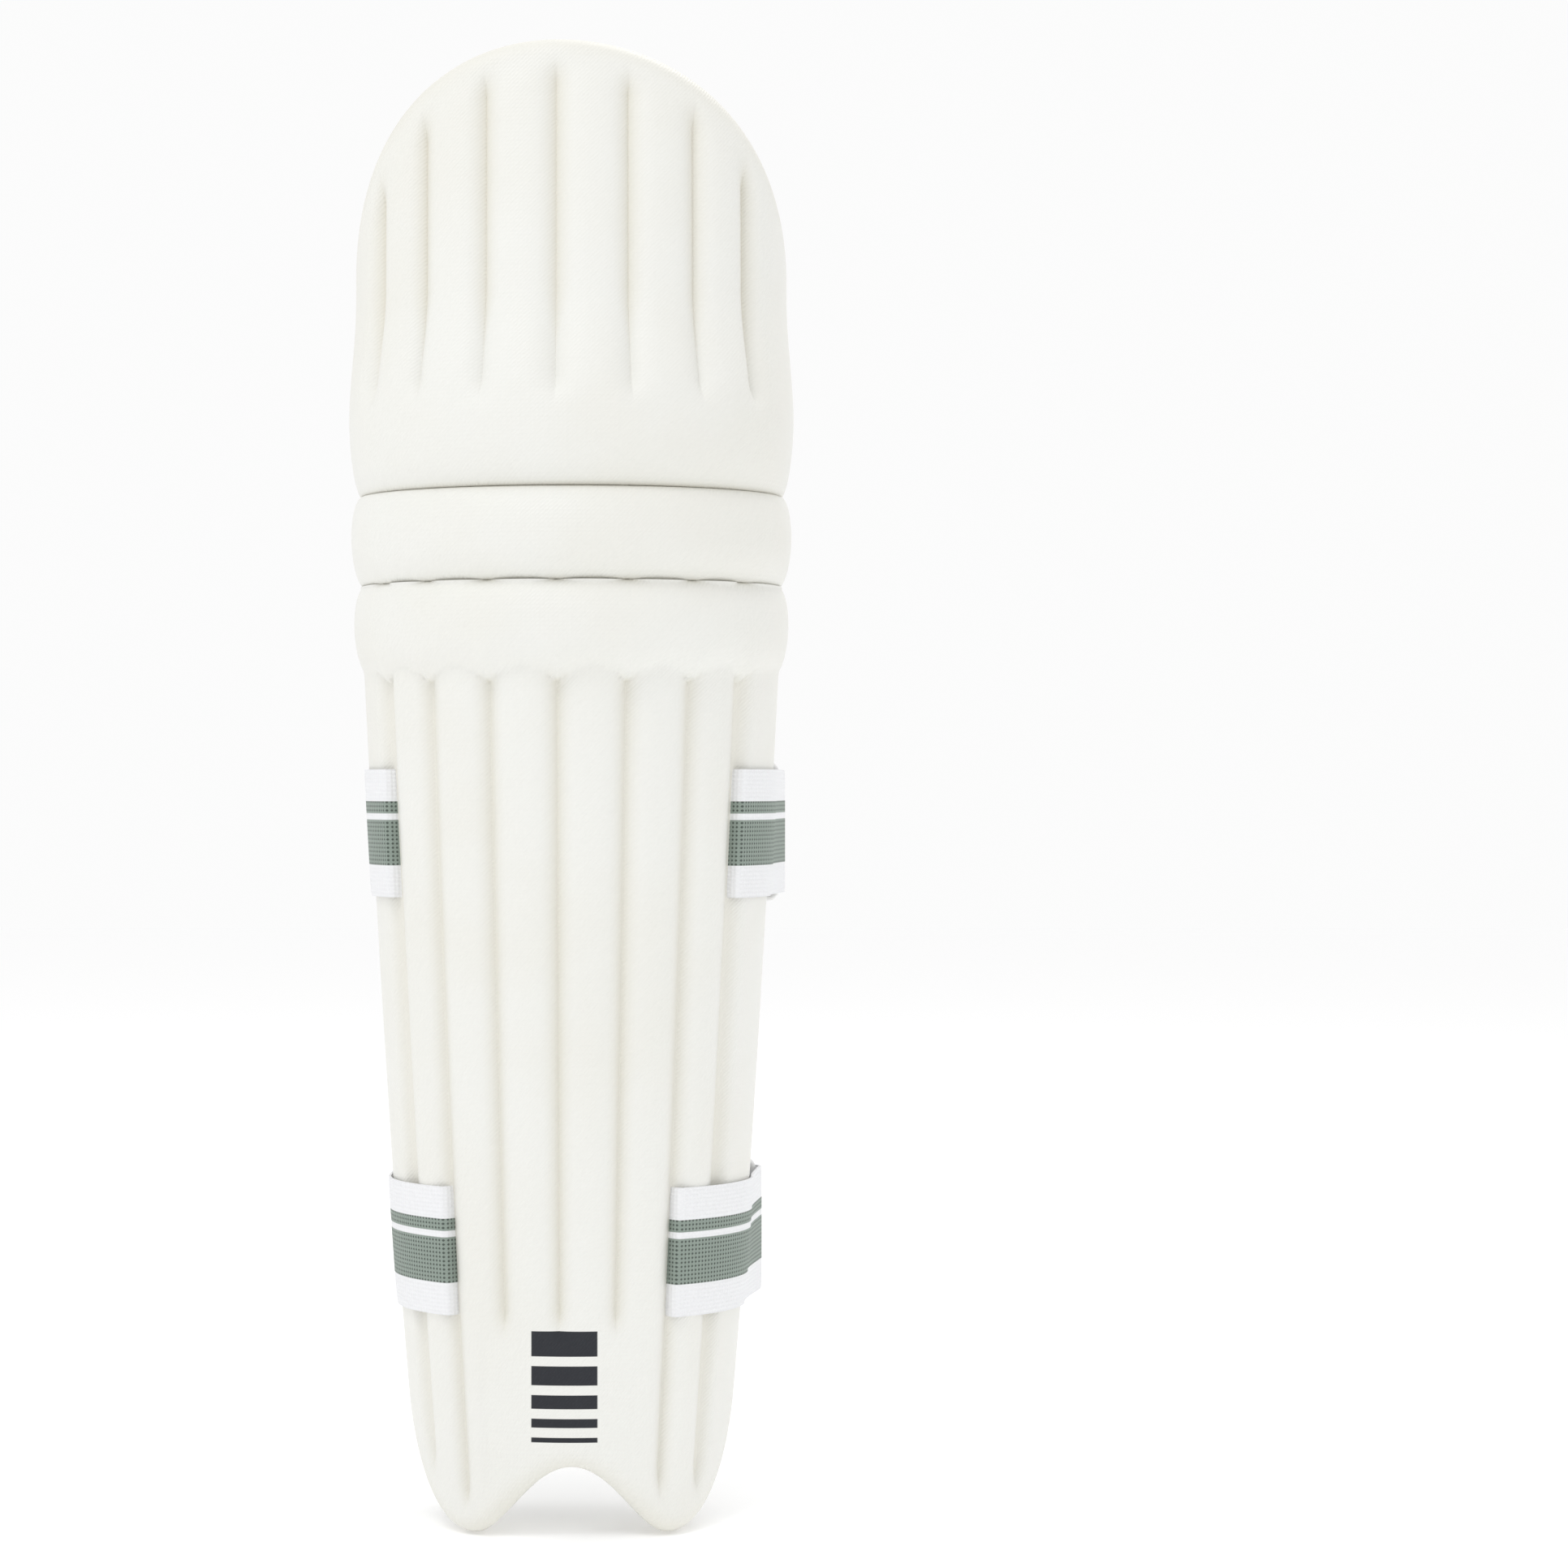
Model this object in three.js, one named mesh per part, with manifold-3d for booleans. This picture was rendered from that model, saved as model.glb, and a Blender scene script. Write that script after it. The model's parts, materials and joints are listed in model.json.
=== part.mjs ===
// Cricket leg pad (batting pad), adult size, for one leg.
// A moulded foam shell in three stiff sections, joined by flexible webs at two knee creases, holds sewn
// bolsters on its inside. Two webbing straps come out through slots in the shell, pass through a
// plastic ring and fold back on themselves, where hook and loop tape holds them.
//
// Millimetres. +X is to the right seen from the front, +Y points back to the leg, +Z is up.
// Heights are measured from the two lowest tips, and the finished group is lowered at the end, so that
// its origin is on the leg's axis at the crease between the two knee rolls.

import * as THREE from "three";
import { mergeVertices } from "three/addons/utils/BufferGeometryUtils.js";
import Module from "manifold-3d";

const wasm = await Module();
wasm.setup();

// ---------------------------------------------------------------- driving dimensions
const SHIN_LENGTH = 430; // tips to the underside of the lower knee roll
const ROLL_HEIGHT = 46.5; // each of the two knee rolls
const TOP_HEIGHT = 227; // upper crease to the crown

const TIP_HALF_WIDTH = 78; // outside of the shell, at the tips' height
const ANKLE_HALF_WIDTH = 90; // at the ankle strap
const KNEE_HALF_WIDTH = 107; // just under the rolls
const TOP_HALF_WIDTH = 111; // over the knee and the thigh

const TIP_DEPTH = 60; // widest plane to the front of the ribs
const ANKLE_DEPTH = 66;
const KNEE_DEPTH = 80;
const CROWN_DEPTH = 56;
const TIP_FLARE = 16; // how far the instep kicks forward
const WING_BACK = 44; // widest plane to the wings' rear edges, at the knee
const WING_BACK_ANKLE = 36;
const WING_ANGLE = 103; // degrees round the section from the front to a wing's rear edge
const EDGE_TURN = 116; // degrees over which the top and bottom edges fall and rise to the wings

const SHELL_THICKNESS = 13.5;
const FACING_THICKNESS = 1.5;
const BACKING_THICKNESS = 1.2;
const EDGE_ROUND = 7; // run of the rounded rim
const EDGE_DROP = 4; // how far the rim turns in from the outer face

const RIB_PITCH = 19.2; // degrees between grooves
const CENTRE_GROOVE = -4; // degrees; the middle groove sits off centre, so the pad has a hand
const GROOVE_DEPTH = 4;
const RIB_POWER = 3; // flat crowns and steep grooves
const RIB_SHOULDER = 0.22; // share of the pitch from a groove to the columns beside it
const GROOVE_SIDE = 5; // degrees from an outermost groove to the plain wing
const WING_COLUMNS = 5;
const GROOVE_STOP = 106; // height where the three middle grooves run out, above the instep
const PLAIN_BAND = 42; // ribless band over the upper crease

const ROLL_BULGE = 9; // rolls over the ribs, at the front
const SIDE_BULGE = 3; // and at the wings
const CREASE_DEPTH = 13; // roll crown to crease
const BAND_BULGE = 0.6; // share of a roll's relief that the plain band has
const ROLL_ROWS = [0.25, 0.5, 0.8, 1]; // shares of the lower roll's height at its rows
const BAND_ROWS = [0, 0.3, 0.65]; // shares of the plain band's height at its rows

const CROWN_DROP = 155; // how far the wings' rear edges start below the crown
const CORNER_DROP = 30; // extra fall that rounds the wings' upper corners
const CORNER_POWER = 10; // how late that fall comes
const NOTCH_HEIGHT = 34; // instep notch over the tips
const TIP_ANGLE = 43; // degrees from the front to each tip
const WING_RISE = 110; // tips to the lower end of the wings' rear edges

const FORWARD_FLEX = 4; // degrees that each crease gives towards the front
const BACKWARD_FLEX = 10; // and towards the leg
const FLEX_AXIS_Y = 10; // the creases' bending axis, behind the widest plane
const CREASE_GAP = 1; // half of the gap on the bending axis
const WEB_THICKNESS = 3;
const WEB_INSET = 2; // degrees from the webs' ends to the wings' rear edges

const BOLSTER_THICKNESS = 20;
const TOP_LINING_THICKNESS = 16;
const KNEE_BLOCK_THICKNESS = 18;
const KNEE_BLOCK_GAP = 9.5; // room in front of the knee bolsters, for the creases to flex
const KNEE_SIDE_GAP = 2.5; // and beside them
const KNEE_GAP_POWER = 4; // how late the one turns into the other
const KNEE_BLOCK_TOP = 42; // over the upper crease
const KNEE_BLOCK_BOTTOM = 36; // under the lower crease
const KNEE_MIDDLE_DROP = 5; // how much lower the middle knee bolster starts than its neighbours
const KNEE_MIDDLE_RISE = 9; // and how much higher it ends
const KNEE_EDGE = 96; // degrees round the section to the knee bolsters' side edges
const SEAM_GAP = 7; // between bolsters that flex against each other
const LINING_SHEET = 0.8;
const REST_EASE = 2.8; // the middle shin bolster's extra thickness at its top, up to its flat back
const LINING_EDGE = 94; // degrees round the section to the lining's side edges
const LINING_RIM = 19; // from the crown's edge to the top lining
const LINING_FOOT = 42; // from the bottom edge to the shin bolsters
const SEAM_LEFT = -26; // degrees, the seams on each side of the middle bolsters
const SEAM_RIGHT = 20;
const SEAM_HALF_WIDTH = 0.6; // degrees of clearance on each side of a seam
const INSTEP_RISE = 60; // bottom edge to the middle shin bolster

const WEBBING_WIDTH = 65;
const WEBBING_THICKNESS = 1.8;
const CALF_STRAP_Z = 350;
const ANKLE_STRAP_Z = 140;
const SLOT_CLEARANCE = 1.2;
const STRAP_TAIL = 22; // degrees of strap behind the shell
const STRAP_STANDOFF = 2.5; // behind the wings' rear edges
const STRAP_LIFT = 0.8; // between the shell's outer face and a strap
const TURN_WIDTH = 4; // from a wing's rear edge to where a strap runs straight across
const TURN_BULGE = 0.8; // how far the turn between them bows out
const FOLD_STOP = 1; // from a ring's inner bar to the ends of the strap and its flap
const FOLD_ANGLE = 88; // degrees that the fold reaches on each side of the bar
const TAB_LAST = 84; // degrees round the section to where a ring tab starts to leave the shell
const TAB_LEAVES = 92; // and where it has left
const EYE_START = -20; // degrees, the loop round a ring's outer bar
const EYE_END = 200;
const MITRE_LIMIT = 0.6;
const RING_WIDTH = 24;
const RING_BAR = 3.5;
const RING_BEVEL = 0.9;
const RING_CORNER = 4.5;
const RING_INNER_CORNER = 1;
const RING_OUTBOARD = 6; // the ring's outer bar beyond the shell's side
const RING_PLAY = 1.5; // webbing round a bar, so that the ring can swivel
const TAPE_WIDTH = 55;
const TAPE_THICKNESS = 1.7;
const CALF_FLAP_END = -103; // x where each folded end stops
const ANKLE_FLAP_END = -67;
const TAB_RETURN = 12; // length of the ring tabs that is sewn back
const TAB_EASE = 0.6; // share of the loop's radius by which that length leans out
const HOOK_SHARE = 0.62; // of the flap's length
const TAPE_INSET = 2; // from a flap's end to the hook tape
const LOOP_INSET = 8; // from the wing to the loop tape
const LOOP_STOP = 12; // from the ring's inner bar to the loop tape

const LABEL_WIDTH = 12;
const LABEL_HEIGHT = 62;
const LABEL_THICKNESS = 0.8;
const LABEL_TURN = 20; // degrees that the label leans out towards the wing

const CLEARANCE = 0.3; // between pieces that touch
const CORE_GAP = 1.3; // facing to foam core, at the core's edges
const FACE_GAP = 0.8; // facing to foam core, over the face
const TAIL_ROOM = 4.6; // behind the shell, for the straps' sewn-in ends
const TAIL_GAP = 0.9; // between the shell and those ends
const TOP_SHEET_GAP = 1.2; // between the shell and the top lining's cloth

// ---------------------------------------------------------------- levels that follow
const DEG = Math.PI / 180;
const lowerCrease = SHIN_LENGTH + ROLL_HEIGHT;
const upperCrease = lowerCrease + ROLL_HEIGHT;
const crown = upperCrease + TOP_HEIGHT;
const bandTop = upperCrease + PLAIN_BAND;

// ---------------------------------------------------------------- the shell's shape
// Smooth curve through [height, value] stations.
function through(stations, z) {
  const last = stations.length - 1;
  if (z <= stations[0][0]) return stations[0][1];
  if (z >= stations[last][0]) return stations[last][1];
  const i = stations.findIndex((s) => s[0] > z) - 1;
  const slope = (k) => {
    const a = stations[Math.max(k - 1, 0)];
    const b = stations[Math.min(k + 1, last)];
    return (b[1] - a[1]) / (b[0] - a[0]);
  };
  const [[z0, v0], [z1, v1]] = [stations[i], stations[i + 1]];
  const h = z1 - z0;
  const t = (z - z0) / h;
  const blend = t * t * (3 - 2 * t);
  const ease = h * t * (1 - t) * ((1 - t) * slope(i) - t * slope(i + 1));
  return v0 + (v1 - v0) * blend + ease;
}

const halfWidth = (z) =>
  through(
    [
      [0, TIP_HALF_WIDTH],
      [ANKLE_STRAP_Z, ANKLE_HALF_WIDTH],
      [SHIN_LENGTH, KNEE_HALF_WIDTH],
      [bandTop, TOP_HALF_WIDTH],
      [crown, TOP_HALF_WIDTH],
    ],
    z,
  );
const frontDepth = (z) =>
  through(
    [
      [0, TIP_DEPTH],
      [ANKLE_STRAP_Z, ANKLE_DEPTH],
      [SHIN_LENGTH, KNEE_DEPTH],
      [bandTop, KNEE_DEPTH],
      [crown, CROWN_DEPTH],
    ],
    z,
  );
const wingBack = (z) =>
  through(
    [
      [0, WING_BACK_ANKLE],
      [ANKLE_STRAP_Z, WING_BACK_ANKLE],
      [SHIN_LENGTH, WING_BACK],
      [crown, WING_BACK],
    ],
    z,
  );
const flare = (z) =>
  z < ANKLE_STRAP_Z ? -TIP_FLARE * (1 - z / ANKLE_STRAP_Z) ** 2 : 0;

// The point at an angle round the section (0 at the front, positive to +X), a height, and a distance
// out from the shell's plain outer face.
function skinPoint(angle, z, out) {
  const a = angle * DEG;
  const width = halfWidth(z);
  const behind = Math.abs(angle) > 90;
  const depth = behind ? wingBack(z) / -Math.cos(WING_ANGLE * DEG) : frontDepth(z);
  const normal = new THREE.Vector2(depth * Math.sin(a), -width * Math.cos(a)).normalize();
  return new THREE.Vector3(
    width * Math.sin(a) + normal.x * out,
    flare(z) - depth * Math.cos(a) + normal.y * out,
    z,
  );
}

// Degrees round the section that a length along it takes, near an angle.
function degreesFor(length, angle, z) {
  const step = 1;
  return (step * length) / skinPoint(angle, z, 0).distanceTo(skinPoint(angle - step, z, 0));
}

// Where an angle stands on the edges' curves, which turn further than the wings do.
function edgeAngle(angle) {
  const past = Math.max(Math.abs(angle) - 90, 0);
  return Math.sign(angle) * (Math.abs(angle) + past * ((EDGE_TURN - 90) / (WING_ANGLE - 90) - 1));
}

// The shell's top edge: highest over the middle groove, falling to the wings' rear edges.
function topEdge(angle) {
  const end = angle > CENTRE_GROOVE ? EDGE_TURN : -EDGE_TURN;
  const t = Math.min((edgeAngle(angle) - CENTRE_GROOVE) / (end - CENTRE_GROOVE), 1);
  return crown - CROWN_DROP * (1 - Math.cos((t * Math.PI) / 2)) - CORNER_DROP * t ** CORNER_POWER;
}

// The shell's bottom edge: a notch over the instep, a tip on each side, then up to the wings.
function bottomEdge(angle) {
  const t = Math.abs(angle) / TIP_ANGLE;
  if (t < 1) return (NOTCH_HEIGHT * (1 + Math.cos(Math.PI * t))) / 2;
  const rise = Math.min((Math.abs(edgeAngle(angle)) - TIP_ANGLE) / (EDGE_TURN - TIP_ANGLE), 1);
  return WING_RISE * (1 - Math.cos((rise * Math.PI) / 2));
}

// Half of the gap between two sections at a crease, which lets them flex to their limits.
function creaseGap(angle, z) {
  const y = skinPoint(angle, z, angle > -90 && angle < 90 ? ROLL_BULGE : 0).y - FLEX_AXIS_Y;
  const limit = y < 0 ? FORWARD_FLEX : BACKWARD_FLEX;
  return CREASE_GAP + Math.abs(y) * Math.tan((limit / 2) * DEG);
}

const ribIndex = (k) => CENTRE_GROOVE + k * RIB_PITCH;
const GROOVES = [-3, -2, -1, 0, 1, 2, 3].map(ribIndex);

// Ribs between grooves: 0 on a crown, down to minus the groove's depth.
function ribFace(angle, z) {
  const position = (angle - CENTRE_GROOVE) / RIB_PITCH;
  const nearest = Math.round(position);
  const outside = Math.abs(nearest) > 3;
  const middle = Math.abs(nearest) < 2;
  const plain = outside || (middle && z < GROOVE_STOP) || (z > upperCrease && z < bandTop);
  if (plain) return 0;
  const fromCrown = 1 - 2 * Math.abs(position - nearest);
  return -GROOVE_DEPTH * fromCrown ** RIB_POWER;
}

// A roll's round face between two heights, deepest at its ends.
function rollFace(angle, z, low, high) {
  const t = THREE.MathUtils.clamp((2 * z - low - high) / (high - low), -1, 1);
  const side = Math.min(Math.abs(angle) / 90, 1) ** 2;
  const bulge = THREE.MathUtils.lerp(ROLL_BULGE, SIDE_BULGE, side);
  const crease = THREE.MathUtils.lerp(CREASE_DEPTH, (CREASE_DEPTH * SIDE_BULGE) / ROLL_BULGE, side);
  return bulge - crease * (1 - Math.sqrt(1 - t * t));
}

function outerFace(angle, z) {
  if (z > bandTop) return ribFace(angle, z);
  if (z > upperCrease) return rollFace(angle, z, upperCrease, 2 * bandTop - upperCrease) * BAND_BULGE;
  if (z > lowerCrease) return rollFace(angle, z, lowerCrease, upperCrease);
  if (z > SHIN_LENGTH - ROLL_BULGE)
    return Math.max(rollFace(angle, z, SHIN_LENGTH, lowerCrease), ribFace(angle, z));
  return ribFace(angle, z);
}

// ---------------------------------------------------------------- solids from grids of points
// A closed solid between two grids of the same size, outer[i][j] and inner[i][j].
function sheetSolid(outer, inner) {
  const columns = outer.length;
  const rows = outer[0].length;
  const positions = [...outer.flat(), ...inner.flat()].flatMap((p) => [p.x, p.y, p.z]);
  const out = (i, j) => i * rows + j;
  const into = (i, j) => columns * rows + i * rows + j;
  const index = [];
  const quad = (a, b, c, d) => index.push(a, b, c, a, c, d);
  for (let i = 0; i < columns - 1; i++) {
    for (let j = 0; j < rows - 1; j++) {
      quad(out(i, j), out(i + 1, j), out(i + 1, j + 1), out(i, j + 1));
      quad(into(i, j), into(i, j + 1), into(i + 1, j + 1), into(i + 1, j));
    }
    quad(out(i, 0), into(i, 0), into(i + 1, 0), out(i + 1, 0));
    quad(out(i, rows - 1), out(i + 1, rows - 1), into(i + 1, rows - 1), into(i, rows - 1));
  }
  for (let j = 0; j < rows - 1; j++) {
    quad(out(0, j), out(0, j + 1), into(0, j + 1), into(0, j));
    quad(out(columns - 1, j), into(columns - 1, j), into(columns - 1, j + 1), out(columns - 1, j + 1));
  }
  const geometry = new THREE.BufferGeometry();
  geometry.setAttribute("position", new THREE.Float32BufferAttribute(positions, 3));
  geometry.setIndex(index);
  return facingOut(geometry);
}

function signedVolume(geometry) {
  const p = geometry.attributes.position;
  const index = geometry.index.array;
  const corner = (i) => new THREE.Vector3().fromBufferAttribute(p, index[i]);
  let volume = 0;
  for (let i = 0; i < index.length; i += 3)
    volume += corner(i).dot(corner(i + 1).cross(corner(i + 2))) / 6;
  return volume;
}

function facingOut(geometry) {
  if (signedVolume(geometry) < 0) {
    const index = geometry.index.array;
    for (let i = 0; i < index.length; i += 3)
      [index[i + 1], index[i + 2]] = [index[i + 2], index[i + 1]];
  }
  return geometry;
}

// A panel of the shell or its lining: a band of angles, from a low to a high edge, between two depths.
// heights(angle) lists its rows' heights; outer and inner give the distance out at an angle and height.
function panel({ angles, heights, outer, inner }) {
  const grid = (depth) =>
    angles.map((angle) => heights(angle).map((z) => skinPoint(angle, z, depth(angle, z))));
  return sheetSolid(grid(outer), grid(inner));
}

// Row heights from a low to a high edge: a margin at each end, and even steps between.
function rowsBetween(low, high, count, lowMargin, highMargin) {
  const from = low + lowMargin;
  const to = high - highMargin;
  const even = Array.from({ length: count + 1 }, (_, k) => from + ((to - from) * k) / count);
  return [...(lowMargin ? [low] : []), ...even, ...(highMargin ? [high] : [])];
}

const spread = (from, to, count) =>
  Array.from({ length: count + 1 }, (_, k) => from + ((to - from) * k) / count);

function solidOf(geometry) {
  const plain = geometry.clone();
  for (const name of ["normal", "uv"]) if (plain.getAttribute(name)) plain.deleteAttribute(name);
  const merged = mergeVertices(plain, 1e-4);
  return new wasm.Manifold(
    new wasm.Mesh({
      numProp: 3,
      vertProperties: merged.attributes.position.array,
      triVerts: new Uint32Array(merged.index.array),
    }),
  );
}

function geometryOf(solid) {
  const mesh = solid.getMesh();
  const geometry = new THREE.BufferGeometry();
  geometry.setAttribute("position", new THREE.BufferAttribute(mesh.vertProperties, 3));
  geometry.setIndex(new THREE.BufferAttribute(mesh.triVerts, 1));
  return geometry;
}

const cut = (geometry, cutters) =>
  geometryOf(cutters.reduce((solid, cutter) => solid.subtract(solidOf(cutter)), solidOf(geometry)));

// ---------------------------------------------------------------- the model
const pad = new THREE.Group();

const finish = {
  facing: new THREE.MeshStandardMaterial({ color: 0xeeebe0, roughness: 0.55, metalness: 0 }),
  foam: new THREE.MeshStandardMaterial({ color: 0xd9d6cc, roughness: 0.9, metalness: 0 }),
  backing: new THREE.MeshStandardMaterial({ color: 0xe6e0cf, roughness: 0.6, metalness: 0 }),
  web: new THREE.MeshStandardMaterial({ color: 0xe9e6da, roughness: 0.6, metalness: 0 }),
  whiteCloth: new THREE.MeshStandardMaterial({ color: 0xf1eeec, roughness: 0.75, metalness: 0 }),
  greyCloth: new THREE.MeshStandardMaterial({ color: 0x959995, roughness: 0.7, metalness: 0 }),
  sheet: new THREE.MeshStandardMaterial({ color: 0x8b8f8c, roughness: 0.85, metalness: 0 }),
  webbing: new THREE.MeshStandardMaterial({ color: 0xe4e7e4, roughness: 0.85, metalness: 0 }),
  tape: new THREE.MeshStandardMaterial({ color: 0xd9dcdb, roughness: 0.8, metalness: 0 }),
  plastic: new THREE.MeshStandardMaterial({ color: 0xf4f4f2, roughness: 0.35, metalness: 0 }),
};

function add(name, geometry, material) {
  const mesh = new THREE.Mesh(geometry, material);
  mesh.name = name;
  pad.add(mesh);
  return mesh;
}

// ---------------------------------------------------------------- shell sections
// Angles of a section's columns: every groove, two points between grooves, and the rounded rims.
function sectionAngles(inset, z) {
  const edge = WING_ANGLE - degreesFor(inset, WING_ANGLE, z);
  const shoulder = WING_ANGLE - degreesFor(EDGE_ROUND + inset, WING_ANGLE, z);
  const ribs = [];
  for (let k = -3; k <= 3; k++) {
    ribs.push(ribIndex(k));
    if (k < 3) ribs.push(ribIndex(k + RIB_SHOULDER), ribIndex(k + 1 - RIB_SHOULDER));
  }
  const [first, last] = [ribs[0], ribs[ribs.length - 1]];
  return [
    -edge,
    ...spread(-shoulder, first - GROOVE_SIDE, WING_COLUMNS),
    ...ribs,
    ...spread(last + GROOVE_SIDE, shoulder, WING_COLUMNS),
    edge,
  ];
}

// The three stiff sections: their columns' heights at an angle, inset from every edge.
const SECTIONS = {
  shin: (angle, inset) => {
    const low = bottomEdge(angle) + inset;
    const high = lowerCrease - creaseGap(angle, lowerCrease) - inset;
    const ribs = rowsBetween(low, SHIN_LENGTH, 7, EDGE_ROUND, 0);
    const roll = ROLL_ROWS.map((t) => THREE.MathUtils.lerp(SHIN_LENGTH, high, t));
    return [...ribs, ...roll];
  },
  upper_roll: (angle, inset) =>
    spread(
      lowerCrease + creaseGap(angle, lowerCrease) + inset,
      upperCrease - creaseGap(angle, upperCrease) - inset,
      5,
    ),
  top: (angle, inset) => {
    const low = upperCrease + creaseGap(angle, upperCrease) + inset;
    const high = topEdge(angle) - inset;
    const band = BAND_ROWS.map((t) => low + t * PLAIN_BAND);
    const corner = band[2] + EDGE_ROUND;
    const ribs = rowsBetween(Math.min(bandTop, high - corner + band[2]), high, 6, 0, EDGE_ROUND);
    return [...band, ...ribs];
  },
};

// The rim turns in towards the shell's outer edges, but not at the creases.
function rimDrop(section, angle, z) {
  const below = section === "top" ? topEdge(angle) - z : Infinity;
  const above = section === "shin" ? z - bottomEdge(angle) : Infinity;
  const toSide = (WING_ANGLE - Math.abs(angle)) / degreesFor(1, WING_ANGLE, z);
  const near = Math.min(below, above, toSide);
  return EDGE_DROP * THREE.MathUtils.clamp(1 - near / EDGE_ROUND, 0, 1);
}

// A section's solid, inset from its edges. Its relief is read off the section's own full-size grid, so
// that the layers inside it follow the facing exactly.
function sectionPanel(section, { inset, fromFace, toDepth, middle }) {
  const full = sectionAngles(0, middle);
  const grid = (depth) =>
    sectionAngles(inset, middle).map((angle, i) => {
      const fullRows = SECTIONS[section](full[i], 0);
      return SECTIONS[section](angle, inset).map((z, j) =>
        skinPoint(angle, z, depth(full[i], fullRows[j])),
      );
    });
  const face = (angle, z) => outerFace(angle, z) - rimDrop(section, angle, z) - fromFace;
  return sheetSolid(grid(face), grid(() => -toDepth));
}

const BEYOND = 6; // how far a cutter runs past what it cuts

// The slots that a strap's two ends pass through, as cutters across the whole shell.
function slot(angle, middle) {
  const half = WEBBING_THICKNESS / 2 + SLOT_CLEARANCE;
  const reach = WEBBING_WIDTH / 2 + SLOT_CLEARANCE;
  const wide = degreesFor(half, angle, middle);
  return panel({
    angles: [angle - wide, angle + wide],
    heights: () => [middle - reach, middle + reach],
    outer: () => BEYOND,
    inner: () => -SHELL_THICKNESS - BEYOND,
  });
}

const STRAPS = {
  calf: { z: CALF_STRAP_Z, longSlot: ribIndex(-3), tabSlot: ribIndex(3), flapEnd: CALF_FLAP_END },
  ankle: { z: ANKLE_STRAP_Z, longSlot: ribIndex(-2), tabSlot: ribIndex(2), flapEnd: ANKLE_FLAP_END },
};
const slotCutters = Object.values(STRAPS).flatMap((s) => [slot(s.longSlot, s.z), slot(s.tabSlot, s.z)]);

const SECTION_MIDDLE = {
  shin: (ANKLE_STRAP_Z + SHIN_LENGTH) / 2,
  upper_roll: (lowerCrease + upperCrease) / 2,
  top: (upperCrease + crown) / 2,
};

for (const section of Object.keys(SECTIONS)) {
  const middle = SECTION_MIDDLE[section];
  const cutters = section === "shin" ? slotCutters : [];
  const coreInset = FACING_THICKNESS + CORE_GAP;
  const backingFront = SHELL_THICKNESS - BACKING_THICKNESS;
  const whole = sectionPanel(section, { inset: 0, fromFace: 0, toDepth: SHELL_THICKNESS, middle });
  const hollow = sectionPanel(section, {
    inset: FACING_THICKNESS,
    fromFace: FACING_THICKNESS,
    toDepth: SHELL_THICKNESS + CLEARANCE,
    middle,
  });
  const core = sectionPanel(section, {
    inset: coreInset,
    fromFace: FACING_THICKNESS + FACE_GAP,
    toDepth: backingFront - CLEARANCE,
    middle,
  });
  const backing = panel({
    angles: sectionAngles(coreInset, middle),
    heights: (angle) => SECTIONS[section](angle, coreInset),
    outer: () => -backingFront,
    inner: () => -SHELL_THICKNESS,
  });
  add(`${section}_facing`, cut(whole, [hollow, ...cutters]), finish.facing);
  add(`${section}_foam_core`, cut(core, cutters), finish.foam);
  add(`${section}_backing`, cut(backing, cutters), finish.backing);
}

// Flexible webs that fill the creases behind the rolls and join the sections.
for (const [name, level] of [
  ["lower_crease_web", lowerCrease],
  ["upper_crease_web", upperCrease],
]) {
  const depth = (SHELL_THICKNESS - WEB_THICKNESS) / 2;
  const half = (angle) => creaseGap(angle, level) - CLEARANCE;
  add(
    name,
    panel({
      angles: spread(-WING_ANGLE + WEB_INSET, WING_ANGLE - WEB_INSET, 24),
      heights: (angle) => [level - half(angle), level + half(angle)],
      outer: () => -depth,
      inner: () => -depth - WEB_THICKNESS,
    }),
    finish.web,
  );
}

// ---------------------------------------------------------------- lining and bolsters
const shinSheetFront = SHELL_THICKNESS + TAIL_ROOM;
const shinPadFront = shinSheetFront + LINING_SHEET + CLEARANCE;
const topSheetFront = SHELL_THICKNESS + TOP_SHEET_GAP;
const topPadFront = topSheetFront + LINING_SHEET + CLEARANCE;
const restY = -(KNEE_DEPTH - shinPadFront - BOLSTER_THICKNESS - REST_EASE);
const kneeBlockLow = lowerCrease - KNEE_BLOCK_BOTTOM;
const kneeBlockHigh = upperCrease + KNEE_BLOCK_TOP;
const shinPadHigh = kneeBlockLow - SEAM_GAP;
const topPadLow = kneeBlockHigh + SEAM_GAP;

const lowestPad = (angle) => bottomEdge(angle) + LINING_FOOT;
const instepArch = (angle) => bottomEdge(angle) + INSTEP_RISE;
const highestPad = (angle) => topEdge(angle) - LINING_RIM;

function bolster({ from, to, columns, low, high, rows, front, thickness }) {
  return panel({
    angles: spread(from, to, columns),
    heights: (angle) => spread(low(angle), high(angle), rows),
    outer: (angle) => -front(angle),
    inner: (angle) => -front(angle) - thickness,
  });
}

const PAD_ROWS = 6;
const leftAngles = spread(-LINING_EDGE, SEAM_LEFT - SEAM_HALF_WIDTH, 6);
const middleAngles = spread(SEAM_LEFT + SEAM_HALF_WIDTH, SEAM_RIGHT - SEAM_HALF_WIDTH, 5);
const rightAngles = spread(SEAM_RIGHT + SEAM_HALF_WIDTH, LINING_EDGE, 6);
const shinRows = (angle) => {
  const middle = angle > SEAM_LEFT && angle < SEAM_RIGHT;
  return spread(middle ? instepArch(angle) : lowestPad(angle), shinPadHigh, PAD_ROWS);
};

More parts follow.
